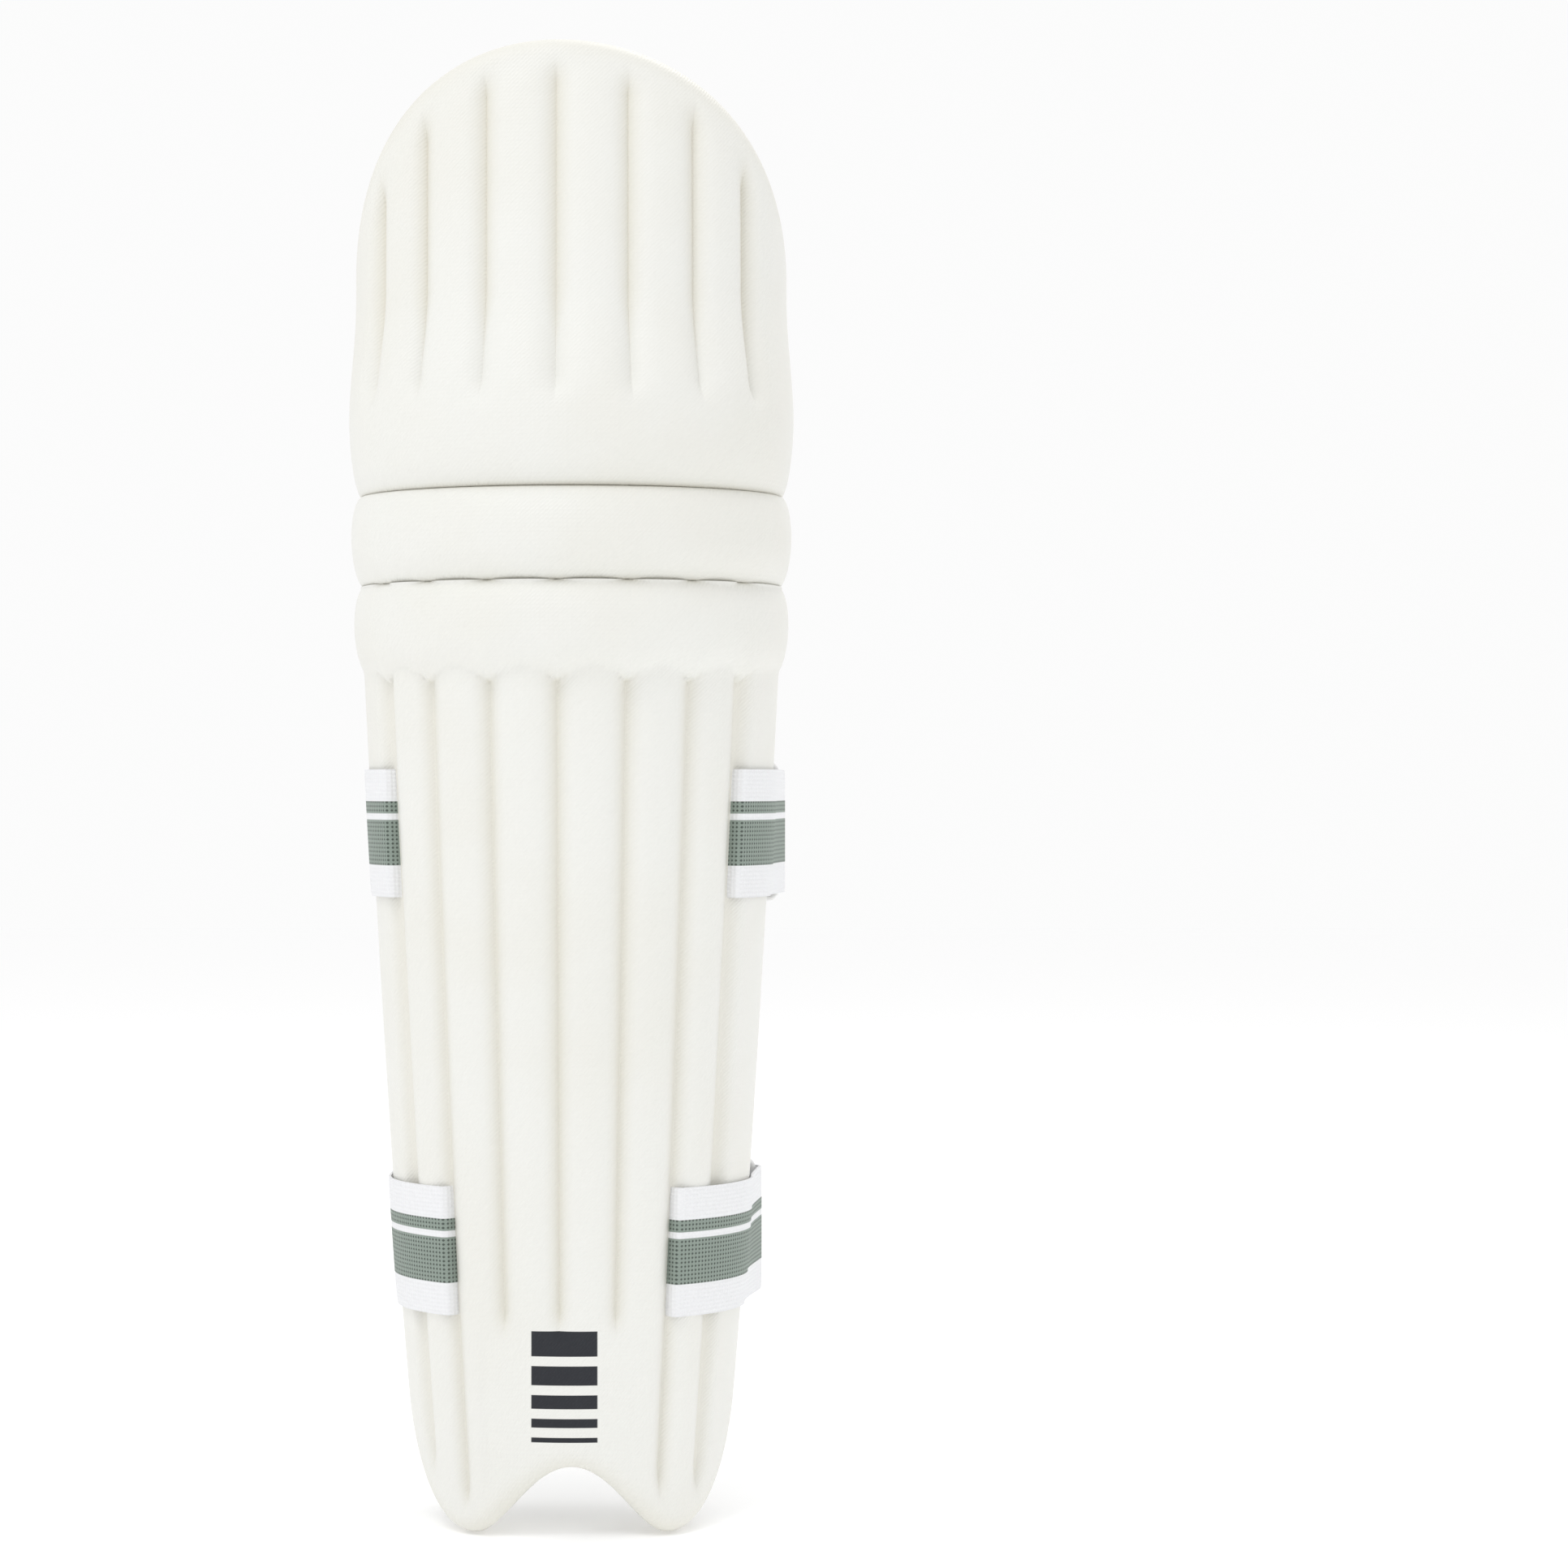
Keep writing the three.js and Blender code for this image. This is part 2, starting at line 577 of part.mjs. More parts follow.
// The cloth that the shin bolsters are sewn to has their outline.
add(
  "shin_lining_sheet",
  panel({
    angles: [...leftAngles, ...middleAngles, ...rightAngles],
    heights: shinRows,
    outer: () => -shinSheetFront,
    inner: () => -shinSheetFront - LINING_SHEET,
  }),
  finish.sheet,
);
for (const [name, from, to] of [
  ["shin_bolster_left", -LINING_EDGE, SEAM_LEFT - SEAM_HALF_WIDTH],
  ["shin_bolster_right", SEAM_RIGHT + SEAM_HALF_WIDTH, LINING_EDGE],
])
  add(
    name,
    bolster({
      from,
      to,
      columns: 6,
      low: lowestPad,
      high: () => shinPadHigh,
      rows: PAD_ROWS,
      front: () => shinPadFront,
      thickness: BOLSTER_THICKNESS,
    }),
    finish.greyCloth,
  );

// The middle shin bolster has a flat back, the face that the shin rests on.
{
  const front = middleAngles.map((angle) =>
    shinRows(angle).map((z) => skinPoint(angle, z, -shinPadFront)),
  );
  const back = middleAngles.map((angle) =>
    shinRows(angle).map((z) => {
      const p = skinPoint(angle, z, -shinPadFront - BOLSTER_THICKNESS);
      return new THREE.Vector3(p.x, restY, z);
    }),
  );
  add("shin_bolster_middle", sheetSolid(front, back), finish.whiteCloth);
}

// The knee bolsters stand clear of the shell, most at the front, where the creases' flex moves it most.
const kneeFront = (angle) =>
  SHELL_THICKNESS +
  THREE.MathUtils.lerp(KNEE_BLOCK_GAP, KNEE_SIDE_GAP, Math.sin(angle * DEG) ** KNEE_GAP_POWER);
for (const [name, from, to, drop, rise, material] of [
  ["knee_bolster_left", -KNEE_EDGE, SEAM_LEFT - SEAM_HALF_WIDTH, 0, 0, finish.greyCloth],
  [
    "knee_bolster_middle",
    SEAM_LEFT + SEAM_HALF_WIDTH,
    SEAM_RIGHT - SEAM_HALF_WIDTH,
    KNEE_MIDDLE_DROP,
    KNEE_MIDDLE_RISE,
    finish.whiteCloth,
  ],
  ["knee_bolster_right", SEAM_RIGHT + SEAM_HALF_WIDTH, KNEE_EDGE, 0, 0, finish.greyCloth],
])
  add(
    name,
    bolster({
      from,
      to,
      columns: 6,
      low: () => kneeBlockLow + rise,
      high: () => kneeBlockHigh - drop,
      rows: 3,
      front: kneeFront,
      thickness: KNEE_BLOCK_THICKNESS,
    }),
    material,
  );

const topLining = (front, thickness) =>
  bolster({
    from: -LINING_EDGE,
    to: LINING_EDGE,
    columns: 14,
    low: () => topPadLow,
    high: highestPad,
    rows: 5,
    front: () => front,
    thickness,
  });
add("top_lining_sheet", topLining(topSheetFront, LINING_SHEET), finish.sheet);
add("top_lining_pad", topLining(topPadFront, TOP_LINING_THICKNESS), finish.whiteCloth);

// A folded label sewn into the outer seam of the right knee bolster. It is placed where the shell is
// narrowest beside it, at its lower end.
{
  const depth = kneeFront(KNEE_EDGE) + KNEE_BLOCK_THICKNESS / 2;
  const seam = skinPoint(KNEE_EDGE, kneeBlockLow, -depth);
  const label = add(
    "size_label",
    new THREE.BoxGeometry(LABEL_THICKNESS, LABEL_WIDTH, LABEL_HEIGHT),
    finish.whiteCloth,
  );
  const turn = LABEL_TURN * DEG;
  const reach = LABEL_WIDTH / 2 + 2 * CLEARANCE;
  label.rotation.z = -turn;
  label.position.set(
    seam.x + reach * Math.sin(turn),
    seam.y + reach * Math.cos(turn) + CLEARANCE,
    kneeBlockLow + LABEL_HEIGHT / 2,
  );
}

// ---------------------------------------------------------------- straps
const strapOut = WEBBING_THICKNESS / 2 + STRAP_LIFT;
const strapIn = SHELL_THICKNESS + TAIL_GAP + WEBBING_THICKNESS / 2;
const barRadius = RING_BAR / 2;
const foldRadius = barRadius + RING_PLAY + WEBBING_THICKNESS / 2;

// Webbing along a centreline: path(z) gives its points at a height, in the same number at each.
function webbing(path, middle, width = WEBBING_WIDTH, thickness = WEBBING_THICKNESS) {
  const levels = [middle - width / 2, middle, middle + width / 2];
  const side = (sign) => {
    const rows = levels.map((z) => {
      const points = path(z);
      return points.map((p, i) => {
        const before = points[Math.max(i - 1, 0)];
        const after = points[Math.min(i + 1, points.length - 1)];
        const a = p.clone().sub(before).normalize();
        const b = after.clone().sub(p).normalize();
        const along = a.clone().add(b).normalize();
        const mitre = i === 0 || i === points.length - 1 ? 1 : 1 / Math.max(along.dot(a), MITRE_LIMIT);
        const normal = new THREE.Vector2(-along.y, along.x).multiplyScalar((sign * mitre * thickness) / 2);
        return new THREE.Vector3(p.x + normal.x, p.y + normal.y, z);
      });
    });
    return rows[0].map((_, i) => rows.map((row) => row[i]));
  };
  return sheetSolid(side(1), side(-1));
}

const flat = (p) => new THREE.Vector2(p.x, p.y);
const arcPoints = (x, y, radius, fromDeg, toDeg, count) =>
  spread(fromDeg * DEG, toDeg * DEG, count).map(
    (a) => new THREE.Vector2(x + radius * Math.cos(a), y + radius * Math.sin(a)),
  );

// A strap end from behind the shell, out through its slot and along the outside to an angle.
function fromSlot(slotAngle, lastAngle, z) {
  const side = Math.sign(slotAngle);
  const along = (from, to, steps, out) => spread(from, to, steps).map((a) => flat(skinPoint(a, z, out)));
  const inside = along(slotAngle - side * STRAP_TAIL, slotAngle, 3, -strapIn);
  return [...inside, ...along(slotAngle, lastAngle, 6, strapOut)];
}

for (const [name, { z: middle, longSlot, tabSlot, flapEnd }] of Object.entries(STRAPS)) {
  const top = middle + WEBBING_WIDTH / 2;
  const runY = wingBack(top) + STRAP_STANDOFF + WEBBING_THICKNESS / 2;
  const ringY = runY + foldRadius;
  const outerBarX = halfWidth(middle) + RING_OUTBOARD;
  const innerBarX = outerBarX - RING_WIDTH + RING_BAR;

  // The long end goes round the left wing's edge and across the back, to the ring's inner bar.
  add(
    `${name}_strap`,
    webbing((z) => {
      const rim = flat(skinPoint(-WING_ANGLE, z, strapOut));
      const turn = new THREE.Vector2(rim.x + TURN_WIDTH, runY);
      return [
        ...fromSlot(longSlot, -WING_ANGLE, z),
        new THREE.Vector2(rim.x + TURN_BULGE, (rim.y + runY) / 2 + TURN_BULGE),
        turn,
        new THREE.Vector2(innerBarX - FOLD_STOP, runY),
      ];
    }, middle),
    finish.webbing,
  );
  // The fold round the bar, which flexes as the flap opens.
  add(
    `${name}_strap_fold`,
    webbing(() => arcPoints(innerBarX, ringY, foldRadius, -FOLD_ANGLE, FOLD_ANGLE, 8), middle),
    finish.webbing,
  );
  const flapY = ringY + foldRadius;
  const flapLength = innerBarX - FOLD_STOP - flapEnd;
  const flap = add(
    `${name}_flap`,
    new THREE.BoxGeometry(flapLength, WEBBING_THICKNESS, WEBBING_WIDTH),
    finish.webbing,
  );
  flap.position.set(flapEnd + flapLength / 2, flapY, middle);

  // Hook tape under the flap's end, and loop tape on the run behind it.
  const hookLength = flapLength * HOOK_SHARE;
  const hook = add(
    `${name}_hook_tape`,
    new THREE.BoxGeometry(hookLength, TAPE_THICKNESS, TAPE_WIDTH),
    finish.tape,
  );
  const faceGap = CLEARANCE + (WEBBING_THICKNESS + TAPE_THICKNESS) / 2;
  hook.position.set(flapEnd + hookLength / 2 + TAPE_INSET, flapY - faceGap, middle);
  const loopFrom = -halfWidth(middle) * Math.sin(WING_ANGLE * DEG) + LOOP_INSET;
  const loopLength = innerBarX - LOOP_STOP - loopFrom;
  const loop = add(
    `${name}_loop_tape`,
    new THREE.BoxGeometry(loopLength, TAPE_THICKNESS, TAPE_WIDTH),
    finish.tape,
  );
  loop.position.set(loopFrom + loopLength / 2, runY + faceGap, middle);

  // The ring: a rounded rectangle that stands on its short side, facing back.
  const innerHeight = WEBBING_WIDTH + 2 * SLOT_CLEARANCE;
  const outerHeight = innerHeight + 2 * RING_BAR;
  const outline = roundedRectangle(RING_WIDTH, outerHeight, RING_CORNER, THREE.Shape);
  outline.holes.push(
    roundedRectangle(RING_WIDTH - 2 * RING_BAR, innerHeight, RING_INNER_CORNER, THREE.Path),
  );
  const ring = add(
    `${name}_ring`,
    new THREE.ExtrudeGeometry(outline, {
      depth: RING_BAR - 2 * RING_BEVEL,
      bevelEnabled: true,
      bevelThickness: RING_BEVEL,
      bevelSize: RING_BEVEL,
      bevelOffset: -RING_BEVEL,
      bevelSegments: 1,
      curveSegments: 3,
    }),
    finish.plastic,
  );
  ring.rotation.x = Math.PI / 2;
  ring.position.set((outerBarX + innerBarX) / 2, ringY + barRadius - RING_BEVEL, middle);

  // The short tab comes out on the right, round the ring's outer bar and back on itself.
  add(
    `${name}_ring_tab`,
    webbing((z) => {
      const leave = flat(skinPoint(TAB_LEAVES, z, strapOut));
      const eye = arcPoints(outerBarX, ringY, foldRadius, EYE_START, EYE_END, 8);
      const last = eye[eye.length - 1];
      const away = leave.clone().sub(eye[0]).normalize();
      const back = last.clone().addScaledVector(away, TAB_RETURN);
      back.x += foldRadius * TAB_EASE;
      return [...fromSlot(tabSlot, TAB_LAST, z), leave, ...eye, back];
    }, middle),
    finish.webbing,
  );
}

function roundedRectangle(width, height, radius, Kind) {
  const [w, h] = [width / 2, height / 2];
  const outline = new Kind();
  outline.moveTo(-w + radius, -h);
  outline.lineTo(w - radius, -h);
  outline.absarc(w - radius, -h + radius, radius, -Math.PI / 2, 0);
  outline.lineTo(w, h - radius);
  outline.absarc(w - radius, h - radius, radius, 0, Math.PI / 2);
  outline.lineTo(-w + radius, h);
  outline.absarc(-w + radius, h - radius, radius, Math.PI / 2, Math.PI);
  outline.lineTo(-w, -h + radius);
  outline.absarc(-w + radius, -h + radius, radius, Math.PI, 1.5 * Math.PI);
  return outline;
}

// The origin goes to the leg's axis, level with the crease between the knee rolls.
pad.position.z = -lowerCrease;

export default pad;
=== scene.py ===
import json
import math

import bmesh
import bpy
import numpy as np
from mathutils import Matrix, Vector, noise
from mathutils.bvhtree import BVHTree
from mathutils.kdtree import KDTree

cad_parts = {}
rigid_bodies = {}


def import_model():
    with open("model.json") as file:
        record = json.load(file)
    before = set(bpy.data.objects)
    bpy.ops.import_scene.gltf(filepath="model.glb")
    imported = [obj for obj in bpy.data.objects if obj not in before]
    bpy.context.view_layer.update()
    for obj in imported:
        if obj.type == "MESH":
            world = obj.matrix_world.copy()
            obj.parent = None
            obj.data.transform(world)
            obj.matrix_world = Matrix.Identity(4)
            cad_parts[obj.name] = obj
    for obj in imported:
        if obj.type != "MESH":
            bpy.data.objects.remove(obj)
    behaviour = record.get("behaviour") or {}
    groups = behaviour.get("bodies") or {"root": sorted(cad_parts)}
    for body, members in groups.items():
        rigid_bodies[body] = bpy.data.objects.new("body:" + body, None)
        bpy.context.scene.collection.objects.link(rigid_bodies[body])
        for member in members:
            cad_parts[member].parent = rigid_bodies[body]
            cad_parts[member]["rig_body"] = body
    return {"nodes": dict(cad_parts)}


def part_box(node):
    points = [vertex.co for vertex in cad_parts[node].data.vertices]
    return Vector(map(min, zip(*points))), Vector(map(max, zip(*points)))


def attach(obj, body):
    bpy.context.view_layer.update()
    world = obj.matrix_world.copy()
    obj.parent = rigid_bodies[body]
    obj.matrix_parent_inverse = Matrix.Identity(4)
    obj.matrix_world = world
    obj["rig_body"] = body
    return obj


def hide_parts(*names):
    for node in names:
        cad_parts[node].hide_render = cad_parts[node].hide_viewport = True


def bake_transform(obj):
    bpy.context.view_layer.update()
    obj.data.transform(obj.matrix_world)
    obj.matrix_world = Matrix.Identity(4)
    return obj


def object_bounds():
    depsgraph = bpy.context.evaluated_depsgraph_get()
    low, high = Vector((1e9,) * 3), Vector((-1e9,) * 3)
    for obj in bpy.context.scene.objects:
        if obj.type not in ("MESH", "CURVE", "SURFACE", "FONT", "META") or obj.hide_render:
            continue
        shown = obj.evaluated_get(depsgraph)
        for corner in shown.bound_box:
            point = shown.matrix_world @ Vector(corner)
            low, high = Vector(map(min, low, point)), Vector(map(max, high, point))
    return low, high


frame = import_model()
cad_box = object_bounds()
nodes = frame["nodes"]

# ------------------------------------------------------------------ sizes, in millimetres
# Heights are from the shell's two lowest tips; metres() moves them to the frame, whose origin is
# level with the lower crease.
SHIN_LENGTH = 430  # tips to the underside of the lower knee roll
LOWER_CREASE = 476.5
UPPER_CREASE = 523
CROWN = 750
BAND_TOP = 565  # where the band above the upper crease runs out into the ribs
MID_ROLL = (LOWER_CREASE + UPPER_CREASE) / 2
ANKLE = 140
WING_ANGLE = 103  # degrees round from the front to the wings' rear edges
# The top and bottom edges are drawn as if the wings ran round to this angle, then squeezed.
EDGE_TURN = 116
RIB_PITCH = 19.2  # degrees between grooves
CENTRE_GROOVE = -4  # degrees that the middle groove is off centre
OUTER_GROOVE = 3  # the last groove on each side, counted from the middle one
SHELL = 13.5  # thickness
RECESS = 2.5  # the inside of the shell lies this far behind its rolled rim
RIM = 12  # width of the rolled rim
OUTER_ROUND = 8
INNER_ROUND = 6
GROOVE_DEPTH = 5.2
BULGE, SIDE_BULGE = 9, 3.6  # of the knee rolls, at the front and at 90 degrees
CREASE, SIDE_CREASE = 14, 5.5  # how far the creases drop below the rolls, likewise
LOWER_ROLL_START = 431.5  # its underside
SCALLOP = 5.5  # how much lower the underside is at its deepest
MIDDLE_RIBS_START = (97, 112)  # the middle grooves fade in above the instep
NOTCH = 34
TIP_ANGLE = 43
WING_RISE = 110
CROWN_DROP = 155
CORNER_DROP = 30
WEBBING = 1.8  # thickness
WEBBING_WIDTH = 65
TAPE_WIDTH = 55
TAPE = 1.7  # thickness
STRAP_OUT = 1.7  # the webbing's middle outside the shell
STRAP_IN = 15.3  # and inside it
RING_BAR = 3.5
RING_WIDTH = 24
RING_CORNER = 4.0
BAR_SIDES = 16
RING_PLAY = 1.5  # between the bar and the webbing round it
# Height, the grooves that the long strap and the ring's tab come out at, and where the flap ends.
STRAPS = {
    "calf": {"z": 350, "long": -3, "tab": 3, "end": -103},
    "ankle": {"z": 140, "long": -2, "tab": 2, "end": -67},
}


def metres(points):
    p = np.array(points, float)
    p[..., 2] -= LOWER_CREASE
    return p / 1000


def smooth(low, high, x):
    t = np.clip((np.asarray(x, float) - low) / (high - low), 0, 1)
    return t * t * (3 - 2 * t)


# ------------------------------------------------------------------ the shell's shape
def through(stations, z):
    zs, vs = np.array(stations, float).T
    last = len(zs) - 1
    lo = np.maximum(np.arange(last + 1) - 1, 0)
    hi = np.minimum(np.arange(last + 1) + 1, last)
    slopes = (vs[hi] - vs[lo]) / (zs[hi] - zs[lo])
    z = np.clip(z, zs[0], zs[-1])
    i = np.clip(np.searchsorted(zs, z, side="right") - 1, 0, last - 1)
    h = zs[i + 1] - zs[i]
    t = (z - zs[i]) / h
    blend = t * t * (3 - 2 * t)
    return vs[i] + (vs[i + 1] - vs[i]) * blend + h * t * (1 - t) * (
        (1 - t) * slopes[i] - t * slopes[i + 1]
    )


def half_width(z):
    return through([(0, 78), (ANKLE, 90), (SHIN_LENGTH, 107), (BAND_TOP, 111), (CROWN, 111)], z)


def front_depth(z):
    return through([(0, 60), (ANKLE, 66), (SHIN_LENGTH, 80), (BAND_TOP, 80), (CROWN, 56)], z)


def wing_back(z):
    return through([(0, 36), (ANKLE, 36), (SHIN_LENGTH, 44), (CROWN, 44)], z)


def flare(z):
    return np.where(z < ANKLE, -16 * (1 - z / ANKLE) ** 2, 0)


def skin(angle, z, out=0.0):
    """Points at an angle round the section, a height, and a distance out of the plain face."""
    angle, z, out = np.broadcast_arrays(np.asarray(angle, float), z, out)
    a = np.radians(angle)
    width = half_width(z)
    behind = np.abs(angle) > 90
    depth = np.where(behind, wing_back(z) / -math.cos(math.radians(WING_ANGLE)), front_depth(z))
    nx, ny = depth * np.sin(a), -width * np.cos(a)
    length = np.hypot(nx, ny)
    x = width * np.sin(a) + nx / length * out
    y = flare(z) - depth * np.cos(a) + ny / length * out
    return np.stack([x, y, z], -1)


def edge_angle(angle):
    angle = np.asarray(angle, float)
    past = np.maximum(np.abs(angle) - 90, 0)
    return np.sign(angle) * (np.abs(angle) + past * ((EDGE_TURN - 90) / (WING_ANGLE - 90) - 1))


def top_edge(angle):
    end = np.where(np.asarray(angle) > CENTRE_GROOVE, EDGE_TURN, -EDGE_TURN)
    t = np.clip((edge_angle(angle) - CENTRE_GROOVE) / (end - CENTRE_GROOVE), 0, 1)
    return CROWN - CROWN_DROP * (1 - np.cos(t * math.pi / 2)) - CORNER_DROP * t**10


def bottom_edge(angle):
    angle = np.abs(edge_angle(angle))
    notch = NOTCH * (1 + np.cos(math.pi * np.minimum(angle / TIP_ANGLE, 1))) / 2
    rise = np.clip((angle - TIP_ANGLE) / (EDGE_TURN - TIP_ANGLE), 0, 1)
    return notch + WING_RISE * (1 - np.cos(rise * math.pi / 2))


def groove(k):
    return CENTRE_GROOVE + k * RIB_PITCH


def roll(angle, z, low, high):
    t = np.clip((2 * z - low - high) / (high - low), -1, 1)
    side = np.minimum(np.abs(angle) / 90, 1) ** 2
    bulge = BULGE + (SIDE_BULGE - BULGE) * side
    crease = CREASE + (SIDE_CREASE - CREASE) * side
    return bulge - crease * (1 - np.sqrt(1 - t * t))


def relief(angle, z, to_edge):
    """How far the outer face stands out of the plain skin: ribs, grooves, rolls and creases."""
    position = (angle - CENTRE_GROOVE) / RIB_PITCH
    nearest = np.clip(np.round(position), -OUTER_GROOVE, OUTER_GROOVE)
    away = np.abs(position - nearest)
    outer = np.abs(nearest) == OUTER_GROOVE
    beyond = outer & (np.abs(position) > OUTER_GROOVE)
    span = np.where(beyond, 0.36, 0.5)
    sharp = np.clip(1 - away / span, 0, 1) ** np.where(beyond, 1.6, 3.2)
    crown = 0.9 * np.clip(1 - (1 - away / 0.5) ** 2, 0, 1) * ~beyond
    deep = GROOVE_DEPTH * np.where(outer, 1.25, 1.0)
    fade = smooth(9, 24, to_edge)
    middle = np.abs(nearest) < 2
    low_stop = np.where(middle, smooth(*MIDDLE_RIBS_START, z), 1)
    in_top = smooth(BAND_TOP - 3, BAND_TOP + 12, z)
    ribs = (-deep * sharp + crown) * fade * np.where(z < MID_ROLL, low_stop, in_top)
    dip = np.clip(1 - away / 0.5, 0, 1) ** 2 * (np.abs(angle) < 75)
    lower = roll(angle, z, LOWER_ROLL_START - SCALLOP * dip, LOWER_CREASE)
    upper = roll(angle, z, LOWER_CREASE, UPPER_CREASE)
    band = roll(angle, z, UPPER_CREASE, 2 * BAND_TOP - UPPER_CREASE)
    flat_band = BULGE * (1 - 0.6 * np.minimum(np.abs(angle) / 90, 1) ** 2)
    band = np.where(z > BAND_TOP, flat_band, band)
    band = band * np.where(z > UPPER_CREASE, 1 - smooth(BAND_TOP - 8, BAND_TOP + 60, z), 1)
    face = np.where(z > UPPER_CREASE, band + ribs, upper)
    return np.where(z > LOWER_CREASE, face, np.maximum(lower, ribs))


def outline():
    """The shell's edge as four lines of points."""
    around = np.linspace(-WING_ANGLE, WING_ANGLE, 260)
    lines = [skin(around, bottom_edge(around)), skin(around, top_edge(around))]
    for side in (-WING_ANGLE, WING_ANGLE):
        heights = np.linspace(bottom_edge(side), top_edge(side), 160)
        lines.append(skin(np.full(160, side), heights))
    return lines


def distance_to(points, line):
    """Each point's distance to a line of points."""
    a, b = line[:-1], line[1:]
    ab = b - a
    ap = points[:, None] - a
    t = np.clip((ap * ab).sum(-1) / (ab * ab).sum(-1), 0, 1)
    return np.linalg.norm(ap - t[..., None] * ab, axis=-1).min(1)


OUTLINE = outline()


def edge_distance(grid):
    return np.stack([np.min([distance_to(c, line) for line in OUTLINE], axis=0) for c in grid])


EDGE_STEPS = np.array([0, 0.5, 1.2, 2.2, 3.5, 5, 7, 9, 11.5, 14.5, 17.5, 21])  # rows at a rim
CREASE_STEPS = np.array([0.3, 0.9, 1.8, 3, 4.5, 6.5, 9, 11])  # rows above the upper crease
ROLL_ROWS = 29  # up the upper roll; the shells meet at its middle row
MIDDLE_ROW = ROLL_ROWS // 2
WING_MM = 3.4  # length of a degree at the wings' rear edges
SPREAD_ANGLES = np.linspace(-WING_ANGLE, WING_ANGLE, 413)
UNROLL_HEIGHT = 400.0  # the texture's width is the distance round the skin at this height


def shell_angles():
    """Columns: close together at the grooves and at the rims."""
    fine = np.array([0, 0.012, 0.035, 0.07, 0.115, 0.17, 0.24, 0.32, 0.41, 0.5])
    rib = np.concatenate([fine, 1 - fine[-2:0:-1]])
    ribs = np.concatenate([k + rib for k in range(-3, 3)] + [[3.0]])
    middle = CENTRE_GROOVE + RIB_PITCH * ribs
    side = RIB_PITCH * np.array([0.03, 0.08, 0.14, 0.2, 0.27, 0.34, 0.42])
    rim = EDGE_STEPS / WING_MM
    left = np.linspace(-WING_ANGLE + rim[-1], middle[0] - side[-1], 20)[1:-1]
    right = np.linspace(middle[-1] + side[-1], WING_ANGLE - rim[-1], 20)[1:-1]
    return np.concatenate(
        [-WING_ANGLE + rim, left, middle[0] - side[::-1], middle, middle[-1] + side, right,
         WING_ANGLE - rim[::-1]]
    )


def pinched(low, high, count):
    """Heights from low to high, closer together at both ends."""
    t = (1 - np.cos(np.linspace(0, math.pi, count))) / 2
    return low + (high - low) * t


def shin_rows(angle):
    low = bottom_edge(angle)
    rows = np.linspace(low + EDGE_STEPS[-1], 418, 96)[1:]
    return np.concatenate(
        [low + EDGE_STEPS, rows, pinched(418, LOWER_CREASE, 30)[1:],
         pinched(LOWER_CREASE, UPPER_CREASE, ROLL_ROWS)[1:MIDDLE_ROW + 1]]
    )


def top_rows(angle):
    high = top_edge(angle)
    rows = np.linspace(534, high - EDGE_STEPS[-1], 60)[1:-1]
    return np.concatenate(
        [pinched(LOWER_CREASE, UPPER_CREASE, ROLL_ROWS)[MIDDLE_ROW:], UPPER_CREASE + CREASE_STEPS,
         rows, high - EDGE_STEPS[::-1]]
    )


def shell_grids(rows):
    angles = shell_angles()
    z = np.stack([rows(a) for a in angles])
    angle = np.repeat(angles[:, None], z.shape[1], 1)
    to_edge = edge_distance(skin(angle, z))
    turn = np.clip(OUTER_ROUND - to_edge, 0, OUTER_ROUND)
    drop = OUTER_ROUND - np.sqrt(OUTER_ROUND**2 - turn**2)
    face = relief(angle, z, to_edge)
    outer = skin(angle, z, face * smooth(0, OUTER_ROUND, to_edge) - drop)
    turn_in = np.clip(INNER_ROUND - to_edge, 0, INNER_ROUND)
    rise = INNER_ROUND - np.sqrt(INNER_ROUND**2 - turn_in**2)
    inside = -SHELL + rise + RECESS * smooth(RIM - 4, RIM + 5, to_edge)
    inner = skin(angle, z, inside)
    section = skin(SPREAD_ANGLES, UNROLL_HEIGHT)
    steps = np.linalg.norm(np.diff(section, axis=0), axis=1)
    around = np.concatenate([[0], np.cumsum(steps)])
    u = np.interp(angle, SPREAD_ANGLES, around - around[-1] / 2) / 1000
    uv = np.stack([u, z / 1000], -1)
    # Painted shade: strongest where the face sinks into grooves and creases, and at the rolled rim.
    painted_shade = np.clip(-face / 6, 0, 1) + 0.5 * (1 - smooth(0, 12, to_edge))
    return outer, inner, uv, painted_shade


# ------------------------------------------------------------------ meshes
def link(name, mesh):
    obj = bpy.data.objects.new(name, mesh)
    bpy.context.scene.collection.objects.link(obj)
    return obj


